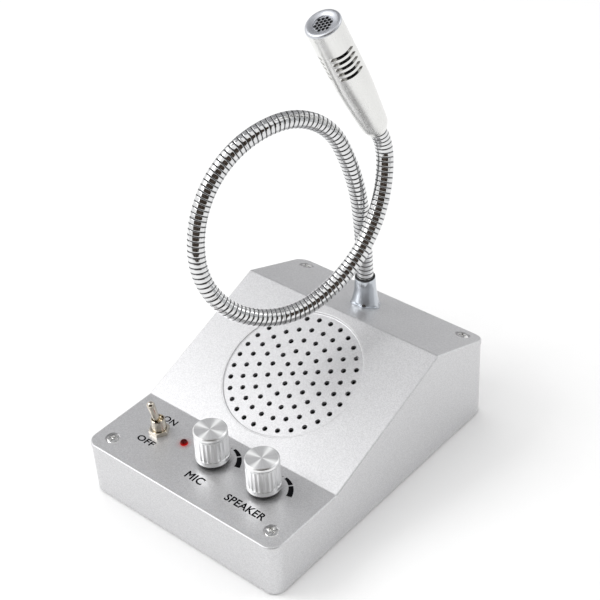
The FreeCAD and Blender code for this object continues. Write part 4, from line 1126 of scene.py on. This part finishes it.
class INTERCOM_OT_printing(bpy.types.Operator):
    """Print the plain words and the volume marks on the front deck"""

    bl_idname = "intercom.printing"
    bl_label = "Printed words and marks"

    def execute(self, context):
        meshes = [self.word(text, across, FRONT + deep, width, height)
                  for text, across, deep, width, height in WORDS]
        meshes += [self.volume_mark(JOINTS[name]["pos_m"]) for name in LEVEL_CONTROLS]
        show("deck_printing", joined("deck_printing", meshes), "case", None,
             finish=FINISHES["ink"])
        return {"FINISHED"}

    def word(self, text, x, y, width, height):
        """A word in plain letters, drawn out to its width and height."""
        thickness = settings("case").print_height
        curve = bpy.data.curves.new("word", "FONT")
        curve.body = text
        curve.align_x = curve.align_y = "CENTER"
        curve.bevel_depth, curve.bevel_resolution = LETTER_WEIGHT, 0
        curve.space_character = LETTER_SPACE
        holder = linked("word", curve)
        seen = holder.evaluated_get(bpy.context.evaluated_depsgraph_get())
        mesh = bpy.data.meshes.new_from_object(seen)
        bpy.data.objects.remove(holder)
        corners = [corner.co for corner in mesh.vertices]
        low = Vector([min(corner[axis] for corner in corners) for axis in range(3)])
        high = Vector([max(corner[axis] for corner in corners) for axis in range(3)])
        size = high - low
        scale = (width / size.x, height / size.y, thickness / size.z, 1)
        mesh.transform(Matrix.Translation((x, y, DECK + thickness / 2)) @ Matrix.Diagonal(scale)
                       @ Matrix.Translation(-(low + high) / 2))
        return mesh

    def volume_mark(self, axis):
        """The mark round a level knob: a dot and two swelling segments."""
        thickness = settings("case").print_height

        def build(work):
            for start, end, near, far in ARC_SEGMENTS:
                strip(work, start, end, near, far)
            angle, distance, radius = ARC_DOT
            centre = polar(distance, math.radians(angle))
            work.faces.new([work.verts.new(centre + polar(radius, math.radians(step)))
                            for step in range(0, 360, 30)])
            faces = bmesh.ops.extrude_face_region(work, geom=work.faces[:])
            raised = [item for item in faces["geom"] if isinstance(item, bmesh.types.BMVert)]
            bmesh.ops.translate(work, vec=(0, 0, thickness), verts=raised)

        def strip(work, start, end, near, far):
            """A segment whose outer edge runs from one radius to another."""
            inner, outer, steps = [], [], 16
            for number in range(steps + 1):
                share = number / steps
                angle = math.radians(start + (end - start) * share)
                inner.append(work.verts.new(polar(ARC_INNER, angle)))
                outer.append(work.verts.new(polar(near + (far - near) * share, angle)))
            for number in range(steps):
                work.faces.new([inner[number], outer[number], outer[number + 1], inner[number + 1]])
        mesh = mesh_from(build, "volume_mark")
        shift(mesh, axis[0], axis[1], DECK)
        return mesh


def polar(distance, angle):
    """A point on the deck's plane, round an axis."""
    return Vector((distance * math.cos(angle), distance * math.sin(angle), 0))


# The neck

# Where the neck points at the end of each stretch: compass angle from +X and rise, in degrees.
NECK_HEADINGS = [
    (-142, 86), (-129, 68), (-110, -2), (-99, -44), (-39, -75),
    (56, -32), (72, 19), (86, 48), (129, 70), (-101, 65),
]
STRETCH = 36 * MM
END_STRETCH = 12 * MM
NECK_FOOT = Vector((0, 56.25 * MM, box("neck_socket")[1].z))
MIC_LENGTH = 68.5 * MM
MIC_DISC = 0.35 * MM
MIC_DISC_TOP = MIC_LENGTH - 1 * MM
MIC_RADIUS = 7.85 * MM
MIC_EDGE = 1.2 * MM
# The black ring at the socket's mouth: painted shade, a dark ring that fills the shaded gap between
# the tube and the socket.
SHADE_RING_PROFILE = in_mm((3.98, -0.9), (3.98, 0.25), (4.1, 0.42), (4.5, 0.45), (4.68, 0.3), (4.7, 0),
                     (4.41, -0.02), (4.41, -0.9))
# How far up its axis the microphone's shell begins, and how far the winding runs on inside it.
MIC_FOOT = 3.5 * MM
WINDING_LEAD = 5 * MM
# How far the microphone is turned about its own axis, in degrees.
MIC_TURN = -24


def direction_of(compass, rise):
    """A unit vector from a compass angle, counted from +X, and a rise, both in degrees."""
    level = math.cos(math.radians(rise))
    return Vector((math.cos(math.radians(compass)) * level, math.sin(math.radians(compass)) * level,
                   math.sin(math.radians(rise))))


def heading(number):
    """The direction of the neck at the end of a stretch; it leaves the socket upright."""
    return direction_of(*NECK_HEADINGS[number]) if number >= 0 else UP.copy()


class Stretch:
    """One arc of the neck, tangent to its neighbours."""

    def __init__(self, start, number, length):
        self.start = start
        self.along = heading(number - 1)
        self.bend = self.along.angle(heading(number))
        self.length = length
        self.hinge = self.along.cross(heading(number)).normalized()
        self.inward = self.hinge.cross(self.along)
        self.radius = length / self.bend

    def point(self, distance):
        """The place at a distance along the arc."""
        angle = distance / self.radius
        return (self.start + self.along * (self.radius * math.sin(angle))
                + self.inward * (self.radius * (1 - math.cos(angle))))

    def direction(self, distance):
        """The way that the arc runs at a distance along it."""
        angle = distance / self.radius
        return self.along * math.cos(angle) + self.inward * math.sin(angle)

    def handle(self):
        """The length of a Bezier handle that follows the arc."""
        return 4 / 3 * math.tan(self.bend / 4) * self.radius


def neck_stretches():
    """Every arc of the neck; each joint of the frame has to lie where two of them meet."""
    spot = NECK_FOOT
    stretches = []
    for number in range(len(NECK_HEADINGS)):
        last = number == len(NECK_HEADINGS) - 1
        stretch = Stretch(spot, number, END_STRETCH if last else STRETCH)
        stretches.append(stretch)
        spot = stretch.point(stretch.length)
    for name, joint in JOINTS.items():
        if name.startswith("neck"):
            number = int(name.split("_")[-1])
            gap = (stretches[number].start - Vector(joint["pos_m"])).length
            if gap > 0.05 * MM:
                raise RuntimeError("the neck misses %s by %.5f m" % (name, gap))
    return stretches


def neck_body(number):
    """The body of a link."""
    return "neck_%d" % number if number else "case"


class INTERCOM_OT_gooseneck(bpy.types.Operator):
    """Wind the ribbed gooseneck along its arcs, in lengths that meet halfway along the arcs"""

    bl_idname = "intercom.gooseneck"
    bl_label = "Gooseneck"

    def execute(self, context):
        neck = settings("neck")
        stretches = neck_stretches()
        links = len(stretches) - 1
        rail = self.rail(stretches)
        total = links * STRETCH + END_STRETCH + WINDING_LEAD
        per_link = neck.ribs_per_link * neck.samples
        recipe = winding_recipe()
        for number in range(links + 1):
            start = max(0.0, (number - 0.5) * STRETCH)
            end = (number + 0.5) * STRETCH if number < links else total
            mesh = recipe.make(rail, "neck_winding_%d" % number, FINISHES["wound_chrome"],
                               Crest_Radius=neck.crest, Groove_Depth=neck.groove,
                               Pitch=STRETCH / neck.ribs_per_link, Fullness=neck.fullness,
                               Rings=round(total / STRETCH * per_link) + 1, Facets=neck.facets,
                               From=start, To=end)
            mesh.shade_smooth()
            self.fit(mesh, number, links, stretches)
        self.socket()
        return {"FINISHED"}

    def socket(self):
        """The plated socket: a hexagon foot on the sloping deck that flares into a tube."""
        neck = settings("neck")
        waist, mouth, height = 5.05 * MM, 4.75 * MM, 15.5 * MM
        tail, tail_length, lead = 4.5 * MM, 7 * MM, 1.5 * MM
        flats, corner, thick, flare_top = 13.4 * MM, 7.35 * MM, 0.9 * MM, 10.5 * MM
        seal, seal_depth, bore_depth = 4.42 * MM, 1.22 * MM, 12.5 * MM
        bore = neck.crest + 0.06 * MM

        def deck(radius, angle):
            return -radius * math.sin(angle) * math.tan(REAR_SLOPE)

        def foot(lift, inset=0.0):
            def ring(angle):
                radius = min(hexagon(flats, angle), corner) - inset
                return radius, deck(radius, angle) + lift
            return ring

        def flare(share):
            def ring(angle):
                wide = min(hexagon(flats, angle), corner) - 0.4 * MM
                low = deck(wide, angle) + thick
                wide = flats / 2 + (wide - flats / 2) * (1 - share) ** 14
                radius = waist + (wide - waist) * (1 - share) ** 1.6
                return radius, low + (flare_top - low) * share
            return ring
        rings = [(lead, -tail_length), (tail, -tail_length), (tail, -3.2 * MM), foot(-0.3 * MM),
                 foot(0), foot(thick - 0.3 * MM), foot(thick - 0.05 * MM, 0.12 * MM)]
        rings += [flare(number / 16) for number in range(17)]
        rings += [(waist, flare_top + 0.1 * MM), (mouth, height - 0.3 * MM),
                  (mouth - 0.1 * MM, height - 0.08 * MM), (mouth - 0.2 * MM, height),
                  (seal, height), (seal, height - seal_depth), (bore, height - seal_depth),
                  (bore, height - bore_depth), (lead, height - bore_depth)]
        mesh = lathe("neck_socket_flare", rings, 180, closed=True)
        shift(mesh, *(NECK_FOOT - Vector((0, 0, height))))
        show("neck_socket_flare", mesh, "case", "chrome", ["neck_socket"])
        # Painted shade: a black ring fills the dark gap at the socket's mouth.
        mesh = lathe("neck_seal", SHADE_RING_PROFILE, 96, closed=True)
        shift(mesh, *NECK_FOOT)
        show("neck_seal", mesh, "case", "rubber_black", ["neck_seal_ring"])

    def fit(self, mesh, number, links, stretches):
        """Put a length of the winding on its body; a length across a joint is left on no body."""
        name = "neck_winding_%d" % number
        link = "neck_link_%d" % min(number, links - 1)
        if number == 0:
            show(name, mesh, "case", "chrome", [link], FINISHES["wound_chrome"])
            return
        if number == links:
            show(name, mesh, neck_body(links - 1), "chrome", (), FINISHES["wound_chrome"])
            return
        piece = show(name, mesh, None, "chrome", [link], FINISHES["wound_chrome"])
        before, after = stretches[number - 1], stretches[number]
        tuple(before.point(before.length - STRETCH / 2))
        tuple(after.point(STRETCH / 2))
        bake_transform(piece)

    def rail(self, stretches):
        """The neck's centreline: one Bezier span to each arc."""
        curve = bpy.data.curves.new("neck_rail", "CURVE")
        curve.dimensions = "3D"
        curve.resolution_u = 64
        spline = curve.splines.new("BEZIER")
        spline.bezier_points.add(len(stretches) + 1)
        third = WINDING_LEAD / 3
        for number, knot in enumerate(spline.bezier_points):
            before = stretches[number - 1] if 0 < number <= len(stretches) else None
            after = stretches[number] if number < len(stretches) else None
            last = stretches[-1]
            spot = after.start if after else last.point(last.length)
            way = after.along if after else last.direction(last.length)
            if number > len(stretches):
                spot = spot + way * WINDING_LEAD
            knot.handle_left_type = knot.handle_right_type = "FREE"
            knot.co = spot
            knot.handle_left = spot - way * (before.handle() if before else third)
            knot.handle_right = spot + way * (after.handle() if after else third)
        return curve


class INTERCOM_OT_microphone(bpy.types.Operator):
    """Make the microphone: its shell with the sawn slots, the pierced disc and the cloth inside"""

    bl_idname = "intercom.microphone"
    bl_label = "Microphone"

    def execute(self, context):
        tail = neck_stretches()[-1]
        place = place_at(tail.point(tail.length), tail.direction(tail.length),
                         math.radians(MIC_TURN))
        brushed = plain_metal("mic_brushed", (0.83, 0.83, 0.815), 0.22, 0.0003, place,
                              (1, 1, 120), 0.000001)
        self.shell(place, brushed)
        self.disc(place)
        self.screen(place)
        return {"FINISHED"}

    def shell(self, place, brushed):
        """The shell: turned, swelling from its foot, then sawn."""
        mic = settings("mic")
        radius, throat, bore, seat = MIC_RADIUS, 3.96 * MM, 6.2 * MM, 6.65 * MM
        slim, swell_start, swell = 5.8 * MM, 5 * MM, 30 * MM
        rings = [(throat, MIC_FOOT), (4.5 * MM, MIC_FOOT), (4.7 * MM, MIC_FOOT + 0.15 * MM)]
        rings += in_mm((5.75, 6.4), (5.9, 6.7), (6, 7.1))
        rings += [(slim + (radius - slim) * across, swell_start + swell * up) for across, up in (
            (0.25, 0.19), (0.44, 0.36), (0.63, 0.54), (0.8, 0.72), (0.93, 0.87))]
        rings += [(radius, height * MM) for height in (35, 42, 50, 58)]
        rings += [(radius, MIC_LENGTH - MIC_EDGE), (seat, MIC_LENGTH - MIC_EDGE), (seat, 58.5 * MM),
                  (bore, 58 * MM), (bore, 35.5 * MM), (throat, 7.2 * MM)]
        base = lathe("mic_shell_turned", rings, 120, closed=True)
        cutter = mesh_from(self.cutter, "slot_cutter")
        spots, spins = [], []
        for column in range(mic.slot_columns):
            for row in range(mic.slot_rows):
                spots.append((0, 0, mic.slot_first + mic.slot_pitch * row))
                spins.append(2 * math.pi * column / mic.slot_columns)
        points = points_mesh("slot_spots", spots, [tuple(UP)] * len(spots), spins)
        holders = [linked(mesh.name, mesh) for mesh in (cutter, points)]
        mesh = slotted_recipe().make(base, "mic_shell_slotted", brushed,
                                     Cutter=holders[0], Spots=holders[1])
        for holder in holders:
            bpy.data.objects.remove(holder)
        smooth(mesh)
        mesh.transform(place)
        show("mic_shell_slotted", mesh, "neck_8", "brushed_aluminium", ["mic_shell"], brushed)

    def cutter(self, work):
        """The saw's block: it takes all that lies past a plane, over the width of a slot."""
        mic = settings("mic")
        near, far, wide = mic.slot_depth, 10 * MM, 18 * MM
        block(work, (far - near, wide, mic.slot_width), ((far + near) / 2, 0, 0))

    def disc(self, place):
        """The pierced disc and the dished ring round it, which close the shell's end."""
        mic = settings("mic")
        spots = [(0, 0, 0)]
        for ring in (1, 2):
            for step in range(6 * ring):
                side, along = divmod(step, ring)
                corner, following = [polar(ring * mic.hole_pitch, math.radians(60 * turn))
                                     for turn in (side, side + 1)]
                spots.append(tuple(corner.lerp(following, along / ring)))
        mesh = pierced_recipe().make(
            points_mesh("disc_holes", spots), "mic_disc", FINISHES["brushed_aluminium"],
            Radius=6.6 * MM, Hole_Radius=mic.hole_radius, Thickness=MIC_DISC, Hole_Facets=24)
        smooth(mesh)
        shift(mesh, 0, 0, MIC_DISC_TOP - MIC_DISC)
        rings = arc((MIC_RADIUS - MIC_EDGE, MIC_LENGTH - MIC_EDGE), MIC_EDGE, 0, 90, 8)
        rings += [(radius, MIC_LENGTH - drop) for radius, drop in in_mm(
            (6.2, 0.03), (5.6, 0.14), (5.0, 0.32), (4.6, 0.5), (4.4, 0.65), (4.35, 0.8),
            (4.35, 0.99), (6.5, 0.99))]
        rings += [(6.5 * MM, MIC_LENGTH - MIC_EDGE)]
        whole = joined("mic_disc", [mesh, lathe("mic_ring", rings, 96, closed=True)])
        whole.transform(place)
        show("mic_disc", whole, "neck_8", "brushed_aluminium", ["mic_end_disc"])

    def screen(self, place):
        """The black cloth behind the slots and behind the disc."""
        outer, inner, low, high, thick = 5.4 * MM, 5.1 * MM, 41 * MM, 57 * MM, 0.3 * MM
        wide, under = 6.5 * MM, MIC_DISC_TOP - MIC_DISC - 0.05 * MM
        tube = lathe("mic_tube", [(0, low), (outer, low), (outer, high), (inner, high),
                                  (inner, low + thick), (0, low + thick)], 72)
        disc = lathe("mic_cloth", [(0, under), (wide, under), (wide, under - thick),
                                   (0, under - thick)], 72)
        mesh = joined("mic_screen", [tube, disc])
        mesh.transform(place)
        show("mic_screen", mesh, "neck_8", "speaker_cloth")


# The stage

# The width of the camera's sensor, in millimetres, and the floor's width.
SENSOR = 36
FLOOR_SIZE = 12
# The distant lights: where each stands, its strength and its spread in degrees.
SUNS = [
    ("key", (-0.54, 0.04, 0.84), 0.35, 50),
    ("front_edge", (-0.10, -0.84, 0.53), 0.30, 24),
    ("back_edge", (0.60, 0.60, 0.54), 0.35, 24),
]
SOFTBOX_PLACE = (-0.48, -0.39, 0.68)
SOFTBOX_SIZE = (0.40, 0.40)
# The cards: the compass angle, rise and distance of each from the target, its size and its colour.
CARDS = [
    ("card_room", (-50, 22, 1.0), (2.1, 1.3), (0.060, 0.047, 0.038)),
    ("card_back", (135, 22, 1.4), (1.6, 1.6), (0.41, 0.41, 0.42)),
    ("card_over", (125, 62, 1.2), (1.5, 1.2), (0.42, 0.42, 0.43)),
    ("card_right", (25, 15, 1.2), (0.9, 1.2), (0.58, 0.61, 0.65)),
]


class INTERCOM_OT_stage(bpy.types.Operator):
    """Set up the camera, the pale floor, the lights and the cards that gloss reflects"""

    bl_idname = "intercom.stage"
    bl_label = "Camera, floor and light"

    def execute(self, context):
        stage = settings("stage")
        self.camera(stage)
        self.floor()
        self.sky(stage)
        self.lamps(stage)
        self.cards(stage)
        context.scene.view_settings.view_transform = "Standard"
        return {"FINISHED"}

    def view_axes(self, stage):
        """Back towards the camera, to its right, and up."""
        back = Vector((math.sin(stage.azimuth) * math.cos(stage.elevation),
                       -math.cos(stage.azimuth) * math.cos(stage.elevation),
                       math.sin(stage.elevation)))
        level = UP.cross(back).normalized()
        upright = back.cross(level)
        right = level * math.cos(stage.roll) + upright * math.sin(stage.roll)
        return back, right, back.cross(right)

    def camera(self, stage):
        """The camera of the photograph."""
        back, right, upright = self.view_axes(stage)
        data = bpy.data.cameras.new("camera")
        data.sensor_width = SENSOR
        data.lens = stage.lens
        data.clip_start = 0.01
        holder = linked("camera", data)
        turn = Matrix((right, upright, back)).transposed().to_4x4()
        spot = Vector(stage.target) + back * stage.distance
        holder.matrix_world = Matrix.Translation(spot) @ turn
        bpy.context.scene.camera = holder

    def sheet(self, name, width, height, share, dark, pale):
        """A dull flat sheet between two tones."""
        finish = Finish(name)
        finish.set(Base_Color=finish.mix(share(finish), dark, pale), Roughness=0.9,
                   Specular_IOR_Level=0.0)
        x, y = width / 2, height / 2
        mesh = bpy.data.meshes.new(name)
        mesh.from_pydata([(-x, -y, 0), (x, -y, 0), (x, y, 0), (-x, y, 0)], [], [(0, 1, 2, 3)])
        mesh.materials.append(finish.material)
        made = linked(name, mesh)
        return made

    def floor(self):
        """White paper under the object."""
        self.sheet("floor", FLOOR_SIZE, FLOOR_SIZE, lambda finish: finish.noise(0.02),
                   (0.985, 0.985, 0.985), (1, 1, 1))

    def sky(self, stage):
        """White to the camera, to metal and to glass, and a softer light on everything else."""
        world = bpy.data.worlds.new("sky")
        world.use_nodes = True
        bpy.context.scene.world = world
        tree = Tree(world.node_tree)
        path = tree.node("ShaderNodeLightPath", None, (), "Is Camera Ray")
        seen = path + tree.other(path, "Is Glossy Ray") + tree.other(path, "Is Transmission Ray")
        seen = seen.maths("MINIMUM", 1.0)
        strength = stage.sky + seen * (1 - stage.sky)
        light = tree.node("ShaderNodeBackground", None,
                          {"Color": (1, 1, 1, 1), "Strength": strength})
        tree.node("ShaderNodeOutputWorld", None, {"Surface": light})

    def lamps(self, stage):
        """The distant lights, and one soft light near the left."""
        for name, towards, strength, spread in SUNS:
            data = bpy.data.lights.new(name, "SUN")
            data.energy = strength * stage.key
            data.angle = math.radians(spread)
            linked(name, data).matrix_world = place_at(Vector(towards), towards)
        data = bpy.data.lights.new("softbox", "AREA")
        data.shape = "RECTANGLE"
        data.size, data.size_y = SOFTBOX_SIZE
        data.energy = stage.softbox
        spot = Vector(SOFTBOX_PLACE)
        linked("softbox", data).matrix_world = place_at(spot, (spot - GRILLE_CENTRE).normalized())

    def cards(self, stage):
        """Cards that only gloss sees: a dark one where the room would be, and grey ones."""
        for name, (compass, rise, distance), (width, height), colour in CARDS:
            card = self.sheet(name, width, height,
                              lambda finish: (finish.noise(0.3, 4, 0.7) * 3 - 1).clamped(),
                              shade(colour, 0.3), shade(colour, 1.7))
            way = direction_of(compass, rise)
            facing = (-way).to_track_quat("Z", "Y").to_matrix().to_4x4()
            card.matrix_world = Matrix.Translation(Vector(stage.target) + way * distance) @ facing
            card.visible_camera = card.visible_diffuse = False
            card.visible_shadow = card.visible_transmission = False


OPERATORS = [
    INTERCOM_OT_case, INTERCOM_OT_screws, INTERCOM_OT_knobs, INTERCOM_OT_switch,
    INTERCOM_OT_printing, INTERCOM_OT_gooseneck, INTERCOM_OT_microphone, INTERCOM_OT_stage,
]
GROUPS = {
    "case": CaseSettings, "knobs": KnobSettings, "switch": SwitchSettings, "neck": NeckSettings,
    "mic": MicSettings, "stage": StageSettings,
}


class INTERCOM_PT_panel(bpy.types.Panel):
    """Every piece of the intercom, in the order in which it is made"""

    bl_idname = "INTERCOM_PT_panel"
    bl_label = "Intercom"
    bl_space_type = "VIEW_3D"
    bl_region_type = "UI"
    bl_category = "Intercom"

    def draw(self, context):
        for name, group in GROUPS.items():
            part = self.layout.box()
            part.label(text=name.capitalize())
            for prop in group.__annotations__:
                part.prop(settings(name), prop)
        for operator in OPERATORS:
            self.layout.operator(operator.bl_idname)


def register():
    for group in GROUPS.values():
        bpy.utils.register_class(group)
    for name, group in GROUPS.items():
        setattr(bpy.types.Scene, "intercom_" + name, PointerProperty(type=group))
    for part in OPERATORS + [INTERCOM_PT_panel]:
        bpy.utils.register_class(part)


def unregister():
    for part in [INTERCOM_PT_panel] + OPERATORS[::-1]:
        bpy.utils.unregister_class(part)
    for name in GROUPS:
        delattr(bpy.types.Scene, "intercom_" + name)
    for group in GROUPS.values():
        bpy.utils.unregister_class(group)


def main():
    """Make every piece in order."""
    register()
    for operator in OPERATORS:
        area, name = operator.bl_idname.split(".")
        getattr(getattr(bpy.ops, area), name)()


if __name__ == "__main__":
    main()
